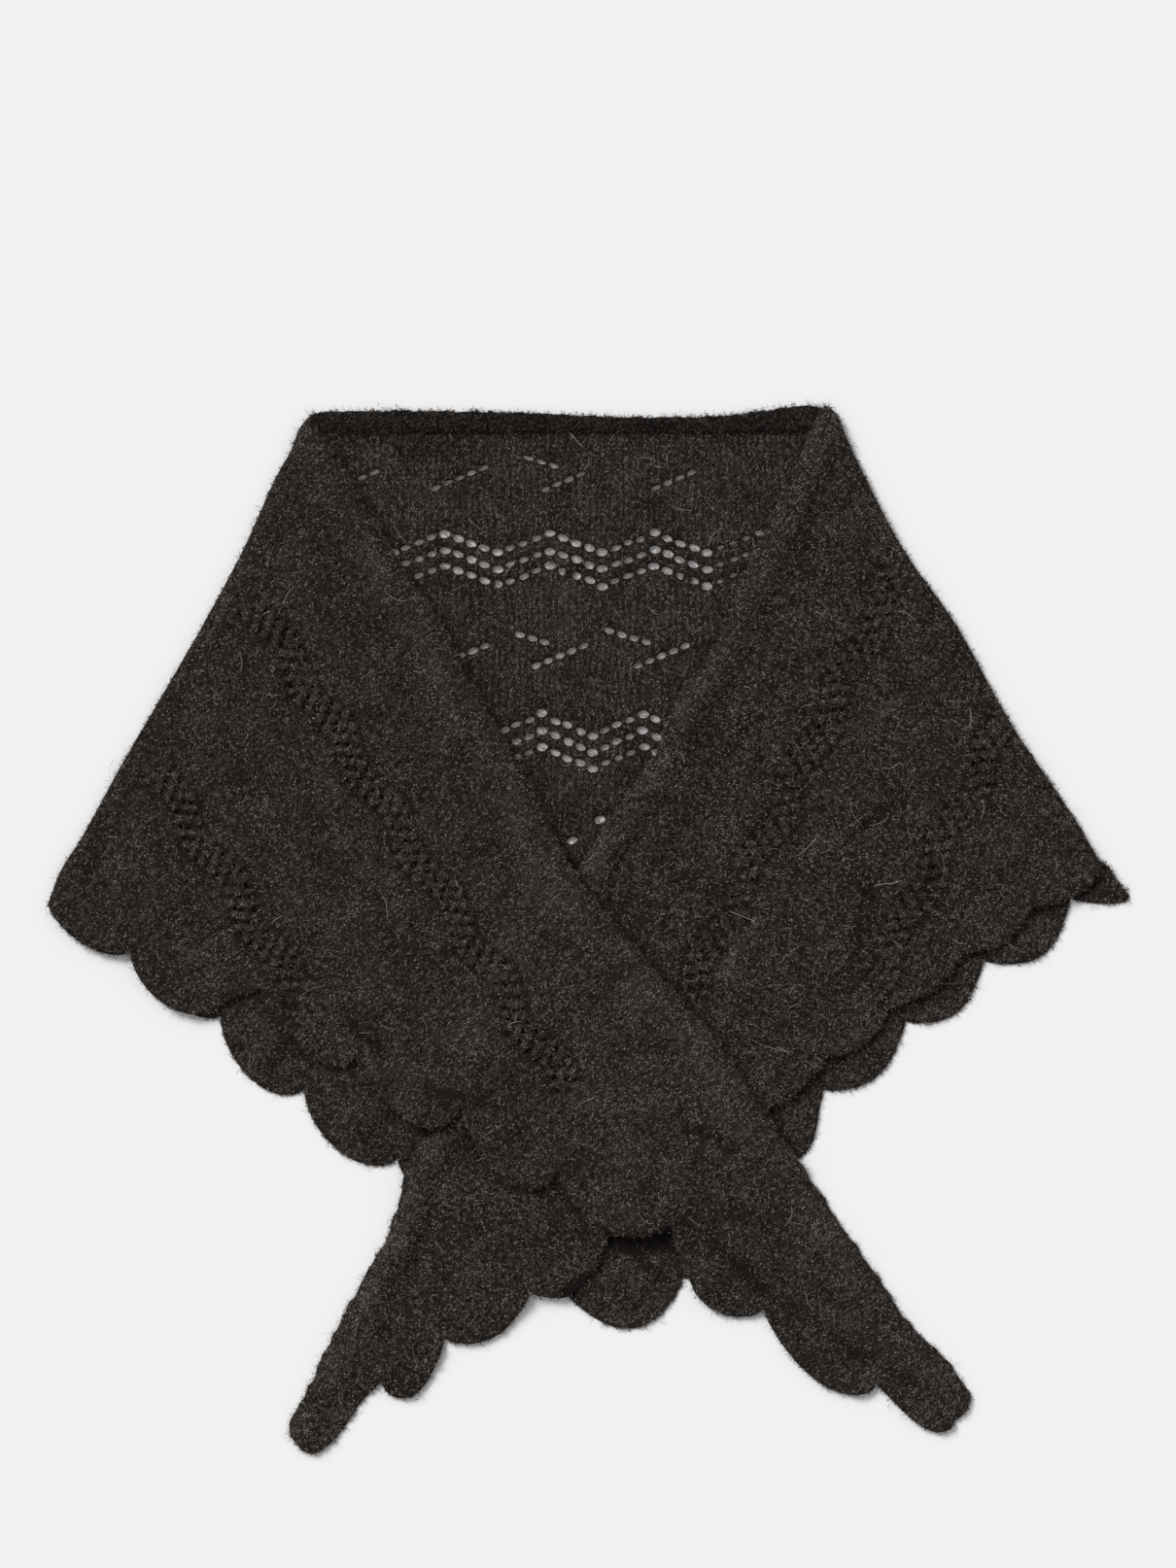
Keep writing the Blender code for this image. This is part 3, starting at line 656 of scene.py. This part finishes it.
def laced(points, zigzags, corner, along, across):
    """The relief of lace that lies on cloth: rows of plump stitches and dimples between furrows."""
    eyelets, knobs = (wing_eyelets(zigzags, corner, along, across, shift) for shift in (0.0, 0.5))
    plump = np.exp(-((nearest_to(points, knobs) / KNOB_REACH) ** 2))
    sunk = np.exp(-((nearest_to(points, eyelets) / DIMPLE_REACH) ** 2))
    relief = KNOB_HEIGHT * plump - DIMPLE_DEPTH * sunk
    position, fall = (points - corner) @ along, (points - corner) @ across
    for distance, crest, wave, first, last in zigzags:
        off = fall - distance - zigzag(position, crest, wave, ZIGZAG_HEIGHT)
        start, end = crest + np.array((first, last + 1)) * wave / HOLES_A_WAVE
        within = np.clip(np.minimum(position - start, end - position) / LACE_FADE, 0, 1)
        for line, share in LACE_FURROWS:
            furrow = np.exp(-(((off - line * WING_ROW_PITCH) / FURROW_REACH) ** 2))
            relief -= FURROW_DEPTH * share * within * furrow
    return relief


# The swell of a rolled front: its height, distance from the edge and reach, then the drop at the edge
SWELL, SWELL_AT, SWELL_REACH = 1.2, 13, 12
DROP, DROP_REACH = 0.5, 2.5
# How much of the creases and of the roll counts as relief, which also paints shade into troughs and a
# highlight onto the roll, in the nap and the cloth's colour
CREASE_RELIEF, ROLL_RELIEF = 0.55, 0.15


def rolled(points, edge):
    """The broad swell of a front edge that curls under."""
    off = away(points, edge)
    swell = SWELL * np.exp(-(((off - SWELL_AT) / SWELL_REACH) ** 2))
    return swell - DROP * np.exp(-((off / DROP_REACH) ** 2))


def wing_lift(edge, creases, lace, seed):
    """How a wing's cloth stands off its solid, as loose cloth and as relief, from its edge and lace."""

    def lift(points):
        roll, folds = rolled(points, edge), creased(points, creases)
        loose = puckered(points, seed, 24, 0.45) + puckered(points, seed + 1, 9, 0.2)
        loose = loose + (1 - ROLL_RELIEF) * roll + (1 - CREASE_RELIEF) * folds
        # The relief is also painted: shade in furrows and dimples, a highlight on knobs, ridges and the
        # roll
        return loose, CREASE_RELIEF * folds + laced(points, *lace) + ROLL_RELIEF * roll

    return lift


# The right wing is the same cloth as the left, but its wool is given darker colours: painted shade
right_knit = brushed_knit(
    "brushed_knit_right_wing", math.atan2(0.445, 0.8955), (0.0075, 0.0058, 0.0049), (0.072, 0.057, 0.049)
)
right_lie = Lie(["wing_right", "wing_right_edging", "front_band_right"])
right_edge = uneven(smooth_path(RIGHT_EDGE, 3), 1.2, 34, 7)
roll_corners = [RIGHT_FOLD[0], *beside(np.array(RIGHT_EDGE, float), ROLL_WIDTH)[1:RIGHT_ROLL_ROWS]]
right_roll_line = smooth_path(roll_corners + [RIGHT_TAIL_LINE[0]], 4)
right_tail_line = smooth_path(RIGHT_TAIL_LINE, 4)
right_seam = smooth_path((RIGHT_TAIL_LINE[0], *RIGHT_SEAM, RIGHT_FOLD_END[0]), 4)
right_fold = smooth_path(RIGHT_FOLD[::-1], 3)
right_fold_end = smooth_path(RIGHT_FOLD_END[::-1], 3)
right_fold_top = smooth_path(RIGHT_FOLD_AT_BAND[::-1], 3)
right_hem = scallops(RIGHT_LOBES)
right_tip = smooth_path(RIGHT_TIP, 3)
right_rims = [(right_fold, FOLD_RADIUS), (right_edge, EDGE_RADIUS), (right_fold_top, FOLD_RADIUS)]
right_lace = (RIGHT_ZIGZAGS, RIGHT_EDGE[0], RIGHT_ALONG, RIGHT_ACROSS)
right_eyelets = wing_eyelets(*right_lace)
right_eyelets = right_eyelets[away(right_eyelets[:, :2], right_fold) > FOLD_CLEAR]
right_knobs = wing_eyelets(*right_lace, 0.5)
right_lift = wing_lift(right_edge[::4], RIGHT_CREASES, right_lace, 11)
wing_right = knit_sheet(
    "right_wing_knit", [right_roll_line, right_seam, right_fold], right_lie, right_rims,
    WING_THICK, WING_MESH, right_eyelets, right_knobs, right_lift,
)
right_roll = knit_sheet(
    "right_front_roll",
    [right_edge, np.vstack([right_edge[-1:], right_tail_line[-1:]]), right_tail_line[::-1],
     right_roll_line[::-1], right_fold_top, np.vstack([right_fold_top[-1:], right_edge[:1]])],
    right_lie, right_rims, ROLL_THICK, WING_MESH, lift=right_lift,
)
right_scallops = knit_sheet(
    "right_wing_scallops",
    [right_tip[1:], right_hem, np.vstack([right_hem[-1:], right_fold_end[1:]]), right_seam[::-1],
     right_tail_line, np.vstack([right_tail_line[-1:], right_tip[1:2]])],
    right_lie, [(right_hem, HEM_RADIUS), (right_tip[1:], HEM_RADIUS), (right_fold_end, FOLD_RADIUS)],
    WING_THICK, WING_MESH, lift=right_lift,
)
dress(wing_right, right_knit, "wing_right")
dress(right_roll, right_knit, "front_band_right")
dress(right_scallops, right_knit, "wing_right_edging")

# The left wing lies over both, with the front of the shawl crossed over. It is the same cloth,
# folded along its outer side, and its tail runs out over the right wing's hem to the surface.
LEFT_FOLD_AT_BAND = ((-184, 344), (-191.3, 335.5), (-197.5, 320))
LEFT_EDGE = (
    (-183, 339), (-168, 317), (-143, 274), (-120, 237), (-98, 207), (-78, 165), (-58, 133),
    (-31, 83), (-3, 30), (21, 1), (57, -40), (94, -85), (113, -116), (144, -159), (169.5, -198),
    (186, -221), (201, -243), (215, -264), (235, -283), (246, -296), (256, -316), (253, -323),
    (246, -329),
)
LEFT_ROLL_ROWS = 16
LEFT_TAIL_LINE = ((184, -256), (199, -278), (223, -302), (246, -319))
LEFT_SEAM = (
    (-290, 5), (-231, -32), (-145, -60), (-64, -88), (-5, -138), (66, -171), (88, -214),
    (130, -232), (169, -272),
)
LEFT_LOBES = (
    (-360, 17, 14, 0.9, 0), (-305, -14, 22, 0.75, 0), (-246, -51, 0, 1.0, 0),
    (-218, -40, 22, 1.4, 0), (-155, -83, 28, 1.2, 0), (-84, -117, 31, 1.0, 0),
    (-19, -159, 26, 0.95, -0.1), (55, -193, 3, 1.0, 0), (70, -238, 13, 0.9, 0),
    (118, -253, 25, 0.98, 0), (193, -304, 14, 1.6, 0), (245.4, -329.3, 0, 1.0, 0),
)
LEFT_ALONG, LEFT_ACROSS = np.array((0.543, -0.84)), np.array((-0.84, -0.543))
LEFT_ZIGZAGS = ((94, 115, 66.5, -4, 42), (209.5, 96, 66.0, 5, 28))
# Soft troughs and ridges of the left wing: x, y, x, y, half-width, height. Through the relief the troughs
# are also painted darker and the ridges paler
LEFT_CREASES = (
    (-237, -46, -221, -48, 6, -1.2), (-157, -64, -135, -82, 6, -1.2), (-108, -106, -70, -115, 6, -1.3),
    (62, -122, 67, -140, 5, -1.0), (74, -133, 102, -151, 5, -1.0), (130, -249, 179, -284, 7, -0.8),
    (179, -284, 209, -298, 6, -0.7), (86, -210, 118, -242, 8, -1.2), (-93, 116, -85, 88, 5, -0.8),
    (-232, 116, -228, 96, 5, -0.8), (-261, 92, -256, 70, 5, -0.7), (60, -62, 196, -262, 15, 0.15),
    (-236, 70, -252, -40, 16, 0.25), (-150, 30, -120, -108, 18, 0.25), (-214, -44, -176, -60, 5, -0.8),
)

left_knit = brushed_knit(
    "brushed_knit_left_wing", -math.atan2(0.543, 0.84), (0.0085, 0.0066, 0.0056), (0.085, 0.068, 0.058)
)
left_lie = Lie(["wing_left", "wing_left_edging", "front_band_left"])
left_edge = uneven(smooth_path(LEFT_EDGE, 3), 1.2, 34, 9)
roll_corners = [LEFT_FOLD[0], *beside(np.array(LEFT_EDGE, float), -ROLL_WIDTH)[1:LEFT_ROLL_ROWS]]
left_roll_line = smooth_path(roll_corners + [LEFT_TAIL_LINE[0]], 4)
left_tail_line = smooth_path(LEFT_TAIL_LINE, 4)
left_seam = smooth_path((LEFT_FOLD_END[0], *LEFT_SEAM), 4)
left_seam = np.vstack([left_seam[:-1], smooth_path((LEFT_SEAM[-1], LEFT_TAIL_LINE[0]), 4)])
left_fold = smooth_path(LEFT_FOLD, 3)
left_fold_end = smooth_path(LEFT_FOLD_END, 3)
left_fold_top = smooth_path(LEFT_FOLD_AT_BAND, 3)
left_hem = scallops(LEFT_LOBES)
left_rims = [(left_fold, FOLD_RADIUS), (left_edge, EDGE_RADIUS), (left_fold_top, FOLD_RADIUS)]
left_lace = (LEFT_ZIGZAGS, LEFT_EDGE[0], LEFT_ALONG, LEFT_ACROSS)
left_eyelets = wing_eyelets(*left_lace)
left_eyelets = left_eyelets[away(left_eyelets[:, :2], left_fold) > FOLD_CLEAR]
left_knobs = wing_eyelets(*left_lace, 0.5)
left_lift = wing_lift(left_edge[::4], LEFT_CREASES, left_lace, 17)
wing_left = knit_sheet(
    "left_wing_knit", [left_fold, left_seam, left_roll_line[::-1]], left_lie, left_rims,
    WING_THICK, WING_MESH, np.vstack([left_eyelets, LONE_EYELET]), left_knobs, left_lift,
)
left_roll = knit_sheet(
    "left_front_roll",
    [left_fold_top, left_roll_line, left_tail_line, np.vstack([left_tail_line[-1:], left_edge[-1:]]),
     left_edge[::-1], np.vstack([left_edge[:1], left_fold_top[:1]])],
    left_lie, left_rims, ROLL_THICK, WING_MESH, lift=left_lift,
)
left_scallops = knit_sheet(
    "left_wing_scallops",
    [left_fold_end, left_hem, np.vstack([left_hem[-1:], left_tail_line[-1:]]), left_tail_line[::-1],
     left_seam[::-1]],
    left_lie, [(left_hem, HEM_RADIUS), (left_fold_end, FOLD_RADIUS)], WING_THICK, WING_MESH,
    lift=left_lift,
)
dress(wing_left, left_knit, "wing_left")
dress(left_roll, left_knit, "front_band_left")
dress(left_scallops, left_knit, "wing_left_edging")

# The whole shawl is brushed: short curled tufts of wool stand off the stitches and mat over them,
# with fine fibres among them that stray past every edge. In the neck window they still follow
# the legs of the stitches; on the wings they lie in small swirls.
FINE_SHARE = 0.3
TUFT_LENGTH, TUFT_WIDTH, TUFT_RISE = (1.6, 3.2), (0.5, 1.0), (0.15, 0.9)
FINE_LENGTH, FINE_WIDTH, FINE_RISE = (3.5, 8.0), (0.14, 0.26), (0.3, 1.5)
LEG_LEAN, LEG_OFFSET = 0.5, 0.22
# Between these heights on the surface the order of the back's fibres changes to that of the window
ORDER_RANGE = (-40, 40)
# Tone: how rare pale fibres are, how pale, and what locks of wool, the relief's painted shade and
# highlight, and patches add
PALE_RARITY, PALE_SPAN, LOCK_TONE, RELIEF_SHADING, PATCH_TONE = 2.1, 1.02, 0.3, 0.42, 0.05
RELIEF_RANGE = (-1.2, 0.6)
# Relief below which fibres lie close, thin out, or would cover a furrow
CLOSE, HOLLOW, FURROW = -0.4, -0.5, -0.62
KEPT_IN_HOLLOW, KEPT_OVER_FURROW, KEPT_OVER_EYELET = 0.5, 0.32, 0.07


def swirl(points, wave, seed):
    """A soft random value at each point, about -1 to 1, that changes over the wave's length."""
    return crossed_waves(points, wave, seed, 20, 1.8) / math.sqrt(10)


def triangles(sheets, lowest, highest):
    """The triangles of some cloth whose normals rise between two limits: their corners and normals."""
    corners, normals = [], []
    for sheet in sheets:
        sheet.data.calc_loop_triangles()
        places = np.array([v.co for v in sheet.data.vertices])
        for triangle in sheet.data.loop_triangles:
            if lowest < triangle.normal.z < highest:
                corners.append(places[list(triangle.vertices)])
                normals.append(triangle.normal)
    return np.array(corners), np.array(normals)


def by_area(corners, count, rng):
    """The numbers of some triangles, picked by their area."""
    first, second, third = corners.transpose(1, 0, 2)
    areas = np.linalg.norm(np.cross(second - first, third - first), axis=1)
    return rng.choice(len(areas), count, p=areas / areas.sum())


def shown_spots(sheets, covers, count, rng):
    """Places on the sheets that nothing covers, with the cloth's own normal there."""
    corners, normals = triangles(sheets, -0.2, 2)
    tree = search_tree([cover.data for cover in covers], 1) if covers else None
    up = Vector((0, 0, 1))
    spots, chosen_ones = [], []
    while len(spots) < count:
        chosen = by_area(corners, count, rng)
        a, b = rng.random((2, count))
        a, b = np.where(a + b > 1, 1 - a, a), np.where(a + b > 1, 1 - b, b)
        first, second, third = corners[chosen].transpose(1, 0, 2)
        found = first + a[:, None] * (second - first) + b[:, None] * (third - first)
        for place, number in zip(found, chosen):
            if tree is None or not tree.ray_cast(Vector(place) + 0.2 * MM * up, up)[0]:
                spots.append(place)
                chosen_ones.append(number)
    return np.array(spots[:count]), normals[chosen_ones[:count]]


def ribbons(name, rows, halves, tone, material):
    """Fibres as one mesh: pointed ribbons through rows of points, each of the same number."""
    rows[..., 2] = np.maximum(rows[..., 2], CLOTH_BASE * MM)
    count, points = len(rows), rows.shape[1]
    inner = points - 2
    parts = [rows[:, :1], rows[:, -1:]]
    for i in range(inner):
        parts += [rows[:, i + 1 : i + 2] + halves[:, None], rows[:, i + 1 : i + 2] - halves[:, None]]
    corners = [(0, 3, 2)]
    for i in range(inner - 1):
        a = 2 + 2 * i
        corners += [(a, a + 1, a + 2), (a + 2, a + 1, a + 3)]
    corners.append((2 * inner, 2 * inner + 1, 1))
    places = np.concatenate(parts, axis=1)
    corners = (np.arange(count)[:, None, None] * places.shape[1] + np.array(corners)).ravel()
    mesh = bpy.data.meshes.new(name)
    mesh.vertices.add(places.shape[0] * places.shape[1])
    mesh.vertices.foreach_set("co", places.ravel())
    mesh.loops.add(len(corners))
    mesh.loops.foreach_set("vertex_index", corners)
    mesh.polygons.add(len(corners) // 3)
    mesh.polygons.foreach_set("loop_start", np.arange(0, len(corners), 3))
    mesh.update(calc_edges=True)
    tones = mesh.attributes.new("tone", "FLOAT", "POINT")
    tones.data.foreach_set("value", np.repeat(tone, places.shape[1]))
    mesh.materials.append(material)
    piece = bpy.data.objects.new(name, mesh)
    bpy.context.scene.collection.objects.link(piece)
    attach(piece, "root")


def along_cloth(heading, ups):
    """Unit directions in the cloth for headings seen from above, and those square to them."""
    flat = np.stack([np.cos(heading), np.sin(heading), np.zeros(len(heading))], axis=1)
    along = flat - ups * np.sum(flat * ups, axis=1)[:, None]
    along /= np.linalg.norm(along, axis=1)[:, None] + 1e-9
    return along, np.cross(ups, along)


def wool_fibre(name, shadow, glint):
    """Single wool fibres, some paler than others."""
    material, tree, shader = wool(name, 0.65, 0.1)
    tone = Shade(tree).node("ShaderNodeAttribute", {"attribute_name": "tone"}, output="Fac")
    tree.links.new(tone.mixed((*shadow, 1), (*glint, 1)).socket, shader.inputs["Base Color"])
    return material


def over_eyelets(points, eyelets):
    """Which of the points lie over an open eyelet."""
    found = np.zeros(len(points), bool)
    for x, y, tilt, length, height in eyelets:
        near = np.flatnonzero(np.abs(points - (x, y)).max(axis=1) < length)
        off = points[near] - (x, y)
        long = off @ (math.cos(tilt), math.sin(tilt)) / (length / 2)
        high = off @ (-math.sin(tilt), math.cos(tilt)) / (height / 2)
        found[near] |= long**2 + high**2 < 1.25
    return found


def brush_up(
    name, sheets, covers, count, seed, material, wale, order, lift=None, eyelets=(), painted_shades=(), base=-0.02
):
    """The nap of one stretch of cloth; the order is the share that follows the stitch columns."""
    rng = np.random.default_rng(seed)
    roots, ups = shown_spots(sheets, covers, count, rng)
    flat = roots[:, :2] / MM - PLACE
    right, upward = (math.sin(wale), -math.cos(wale), 0), (math.cos(wale), math.sin(wale), 0)
    column = (flat @ right[:2]) / STITCH_WIDTH + 0.25 * swirl(flat, 60, seed + 2)
    leg = np.where(column % 1 < 0.5, 1, -1)
    follows = rng.random(count) < np.interp(flat[:, 1], ORDER_RANGE, order)
    line = (flat @ upward[:2]) / STITCH_HEIGHT
    aside = np.where(follows, 0.5 - LEG_OFFSET * leg + rng.normal(0, 0.07, count) - column % 1, 0)
    ahead = np.where(follows, rng.normal(0, 0.32, count) - (line + 0.5) % 1 + 0.5, 0)
    roots = roots + aside[:, None] * STITCH_WIDTH * MM * right
    roots = roots + ahead[:, None] * STITCH_HEIGHT * MM * upward
    flat = roots[:, :2] / MM - PLACE
    relief = lift(flat)[1] if lift else np.zeros(count)
    stitch = wale + LEG_LEAN * leg + rng.normal(0, 0.22, count)
    heading = np.where(follows, stitch, 3.5 * swirl(flat, 22, seed) + rng.normal(0, 0.9, count))
    fine = rng.random(count) < FINE_SHARE
    lengths, widths, rise = (
        np.where(fine, rng.uniform(*thin, count), rng.uniform(*tuft, count)) * MM
        for thin, tuft in ((FINE_LENGTH, TUFT_LENGTH), (FINE_WIDTH, TUFT_WIDTH), (FINE_RISE, TUFT_RISE))
    )
    lock = np.clip(0.5 + 0.4 * swirl(flat, 5, seed + 1) + 0.1 * swirl(flat, 18, seed + 3), 0, 1)
    tone = rng.random(count) ** PALE_RARITY * PALE_SPAN + LOCK_TONE * (lock - 0.5) + base
    # The relief paints shade into troughs and dimples and a highlight onto knobs, ridges and rolls
    tone += RELIEF_SHADING * np.clip(relief, *RELIEF_RANGE) + PATCH_TONE * swirl(flat, 45, seed + 4)
    # Painted shade along each edge that lies over this cloth; a negative depth paints a highlight instead
    for edge, reach, depth in painted_shades:
        tone -= depth * np.exp(-((away(flat, edge[::4]) / reach) ** 2))
    rise *= np.where(relief < CLOSE, 0.5, 1.0)
    along, side = along_cloth(heading, ups)
    roll = rng.normal(0, 0.6, count)[:, None]
    halves = (side * np.cos(roll) + ups * np.sin(roll)) * widths[:, None] / 2
    bend = rng.normal(0, 0.15, (2, count))[:, :, None]
    long = lengths[:, None]
    middle = roots + along * 0.45 * long + side * bend[0] * long + ups * rise[:, None]
    lifted = ups * (rise * rng.uniform(0.0, 1.1, count))[:, None]
    tips = roots + along * 0.94 * long + side * bend[1] * long + lifted
    ends = tips[:, :2] / MM - PLACE
    crosses = over_eyelets(ends, eyelets) | over_eyelets(middle[:, :2] / MM - PLACE, eyelets)
    kept = np.where(relief < HOLLOW, KEPT_IN_HOLLOW, 1.0)
    if lift:
        kept = np.where(lift(ends)[1] < FURROW, KEPT_OVER_FURROW, kept)
    keep = rng.random(count) < np.where(crosses, KEPT_OVER_EYELET, kept)
    rows = np.stack([roots - ups * 0.1 * MM, middle, tips], axis=1)[keep]
    ribbons(name, rows, halves[keep], np.clip(tone, 0, 1)[keep], material)


THREADS_AN_EYELET = 26
THREAD_WIDTH = (0.06, 0.13)


def eyelet_threads(name, eyelets, lie, seed, material):
    """Fine fibres that cross the open eyelets from rim to rim."""
    rng = np.random.default_rng(seed)
    eyelets = np.repeat(eyelets, THREADS_AN_EYELET, axis=0)
    count = len(eyelets)
    start = rng.uniform(0, 2 * math.pi, count)
    end = start + rng.uniform(0.35, 1.65, count) * math.pi
    cos, sin = np.cos(eyelets[:, 2]), np.sin(eyelets[:, 2])
    ends = []
    for turn in (start, end):
        long, high = 0.54 * eyelets[:, 3] * np.cos(turn), 0.54 * eyelets[:, 4] * np.sin(turn)
        place = eyelets[:, :2] + np.stack([long * cos - high * sin, long * sin + high * cos], axis=1)
        height = lie.top(place) - rng.uniform(0.2, 1.6, count)
        ends.append(np.column_stack([place + PLACE, height]) * MM)
    middle = (ends[0] + ends[1]) / 2 + rng.normal(0, 0.5, (count, 3)) * (MM, MM, 0)
    off = ends[1] - ends[0]
    side = np.column_stack([-off[:, 1], off[:, 0], np.zeros(count)])
    side /= np.linalg.norm(side, axis=1)[:, None] + 1e-9
    halves = side * rng.uniform(*THREAD_WIDTH, count)[:, None] * MM
    rows = np.stack([ends[0], middle, ends[1]], axis=1)
    ribbons(name, rows, halves, rng.random(count) ** 2, material)


HALO_LENGTH, LONG_HALO_LENGTH, LONG_HALO_SHARE = (1.0, 3.4), (3.5, 7.0), 0.12


def edge_halo(name, sheets, count, seed, material):
    """Short fine fibres that stand out past the rims of the cloth, but not into its eyelets."""
    rng = np.random.default_rng(seed)
    corners, normals = triangles(sheets, -0.3, 0.3)
    middles = corners.mean(axis=1)[:, :2] / MM - PLACE
    rims = nearest_to(middles, np.vstack(list(cut_eyelets.values()))) > EYELET_SIZE[0] * 0.7
    corners, normals = corners[rims], normals[rims]
    chosen = by_area(corners, count, rng)
    shares = rng.dirichlet((1, 1, 1), count)
    roots = np.einsum("ij,ijk->ik", shares, corners[chosen])
    heading = np.arctan2(normals[chosen, 1], normals[chosen, 0]) + rng.normal(0, 0.7, count)
    long = rng.random(count) < LONG_HALO_SHARE
    lengths = np.where(long, rng.uniform(*LONG_HALO_LENGTH, count), rng.uniform(*HALO_LENGTH, count)) * MM
    out = np.stack([np.cos(heading), np.sin(heading), rng.uniform(-0.05, 0.3, count)], axis=1)
    side = np.stack([-np.sin(heading), np.cos(heading), np.zeros(count)], axis=1)
    bend = rng.normal(0, 0.2, count)[:, None]
    middles = roots + out * 0.5 * lengths[:, None]
    tips = roots + (out + side * bend) * lengths[:, None]
    halves = side * rng.uniform(*THREAD_WIDTH, count)[:, None] * MM
    rows = np.stack([roots - out * 0.3 * MM, middles, tips], axis=1)
    ribbons(name, rows, halves, rng.random(count) ** 2 * 0.8, material)


HAIR_STEPS = 11
HAIR_LENGTH, HAIR_ARCH, HAIR_HALF_WIDTH = (8, 24), (0.6, 1.6), 0.14


def stray_hairs(name, sheets, covers, count, seed, material):
    """Long pale guard hairs that curl loose over the nap."""
    rng = np.random.default_rng(seed)
    roots, ups = shown_spots(sheets, covers, count, rng)
    lengths = rng.uniform(*HAIR_LENGTH, count) * MM
    turns = rng.normal(0, 0.22, (count, 1)) + rng.normal(0, 0.12, (count, HAIR_STEPS))
    heading = rng.uniform(0, 2 * math.pi, (count, 1)) + np.cumsum(turns, axis=1)
    rows = [roots]
    for i in range(1, HAIR_STEPS):
        along, side = along_cloth(heading[:, i], ups)
        rows.append(rows[-1] + along * (lengths / HAIR_STEPS)[:, None])
    bow = np.sin(np.linspace(0, math.pi, HAIR_STEPS))[None, :, None]
    arch = bow * rng.uniform(*HAIR_ARCH, (count, 1, 1)) * MM
    rows = np.stack(rows, axis=1) + arch * ups[:, None] + ups[:, None] * 0.5 * MM
    ribbons(name, rows, side * HAIR_HALF_WIDTH * MM, rng.uniform(0.3, 1.0, count), material)


fibre = wool_fibre("brown_black_wool", (0.011, 0.0084, 0.0070), (0.185, 0.156, 0.138))
dark_fibre = wool_fibre("dark_edge_wool", (0.005, 0.0038, 0.0032), (0.082, 0.066, 0.056))
pale_fibre = wool_fibre("pale_guard_hair", (0.12, 0.10, 0.088), (0.36, 0.32, 0.29))
back_cloth = [back, back_edging]
right_cloth = [wing_right, right_roll, right_scallops]
left_cloth = [wing_left, left_roll, left_scallops]
wings = right_cloth + left_cloth
wale_right = math.atan2(RIGHT_ACROSS[1], RIGHT_ACROSS[0])
wale_left = math.atan2(LEFT_ACROSS[1], LEFT_ACROSS[0])
WINDOW_ORDER, LOOSE_ORDER = (0.15, 0.7), (0.2, 0.2)
# Painted shade darkens the nap beside what lies over it; a painted highlight pales the fronts and the
# highest cloth
HIGHLIGHT_LINE = np.linspace((-20, -60), (60, -130), 5)
BACK_PAINTED_SHADES = (
    (left_edge, 5, 0.5), (right_edge, 4, 0.3), (right_hem, 4.5, 0.5), (left_hem, 4.5, 0.5),
    (neck_seam, 4, 0.2),
)
RIGHT_PAINTED_SHADES = ((left_edge, 4.5, 0.55), (left_hem, 5, 0.5), (right_edge, 15, -0.07))
LEFT_PAINTED_SHADES = ((left_edge, 15, -0.07), (HIGHLIGHT_LINE, 60, -0.1))

brush_up(
    "back_nap", back_cloth, wings, 70000, 21, fibre, math.pi / 2, WINDOW_ORDER,
    back_lift, cut_eyelets["back_knit"], BACK_PAINTED_SHADES,
)
brush_up(
    "right_wing_nap", right_cloth, left_cloth, 98000, 22, fibre, wale_right, LOOSE_ORDER,
    right_lift, painted_shades=RIGHT_PAINTED_SHADES,
)
# The left wing is the highest cloth, so its whole nap starts a little paler: painted highlight
brush_up(
    "left_wing_nap", left_cloth, [], 99000, 23, fibre, wale_left, LOOSE_ORDER,
    left_lift, LONE_EYELET, LEFT_PAINTED_SHADES, base=0.0,
)
eyelet_threads("eyelet_fibres", cut_eyelets["back_knit"], back_lie, 26, pale_fibre)
brush_up("neck_roll_nap", [neck_roll], wings, 7000, 24, dark_fibre, math.pi / 2, LOOSE_ORDER)
edge_halo("edge_fuzz", wings + back_cloth, 16000, 27, fibre)
stray_hairs("guard_hairs", wings + back_cloth, [], 160, 25, pale_fibre)

# The surface is pale and matt. The camera looks straight down on it, and the light is soft and
# comes from the upper left.
CAMERA_HEIGHT = 3.0
VIEW_MIDDLE = (0.00165, 0.09735)
VIEW_HEIGHT = 1.0491
FLOOR_SIZE = 30
FLOOR_TONE = (0.885, 0.885, 0.885, 1)
ROOM_LIGHT = 0.44
WINDOW_LIGHT, WINDOW_ANGLE = 2.85, 25
WINDOW_PLACE = (-2.9, 3.2, 3.4)

bpy.ops.mesh.primitive_plane_add(size=FLOOR_SIZE)
floor = bpy.context.object
floor.name = "pale_surface"
floor_paint = bpy.data.materials.new("pale_surface")
floor_paint.use_nodes = True
matt = floor_paint.node_tree.nodes["Principled BSDF"]
matt.inputs["Base Color"].default_value = FLOOR_TONE
matt.inputs["Roughness"].default_value = 0.9
floor.data.materials.append(floor_paint)

lens = bpy.data.cameras.new("camera_above")
lens.lens = lens.sensor_width * CAMERA_HEIGHT / VIEW_HEIGHT
camera = bpy.data.objects.new("camera_above", lens)
camera.location = (*VIEW_MIDDLE, CAMERA_HEIGHT)
bpy.context.scene.collection.objects.link(camera)
bpy.context.scene.camera = camera

world = bpy.data.worlds.new("soft_room")
world.use_nodes = True
world.node_tree.nodes["Background"].inputs["Color"].default_value = (1.0, 1.0, 1.0, 1)
world.node_tree.nodes["Background"].inputs["Strength"].default_value = ROOM_LIGHT
bpy.context.scene.world = world
bpy.context.scene.view_settings.view_transform = "Standard"

lamp = bpy.data.lights.new("soft_window", "SUN")
lamp.angle, lamp.energy = math.radians(WINDOW_ANGLE), WINDOW_LIGHT
window = bpy.data.objects.new("soft_window", lamp)
window.location = WINDOW_PLACE
window.rotation_euler = (-window.location).to_track_quat("-Z", "Y").to_euler()
bpy.context.scene.collection.objects.link(window)
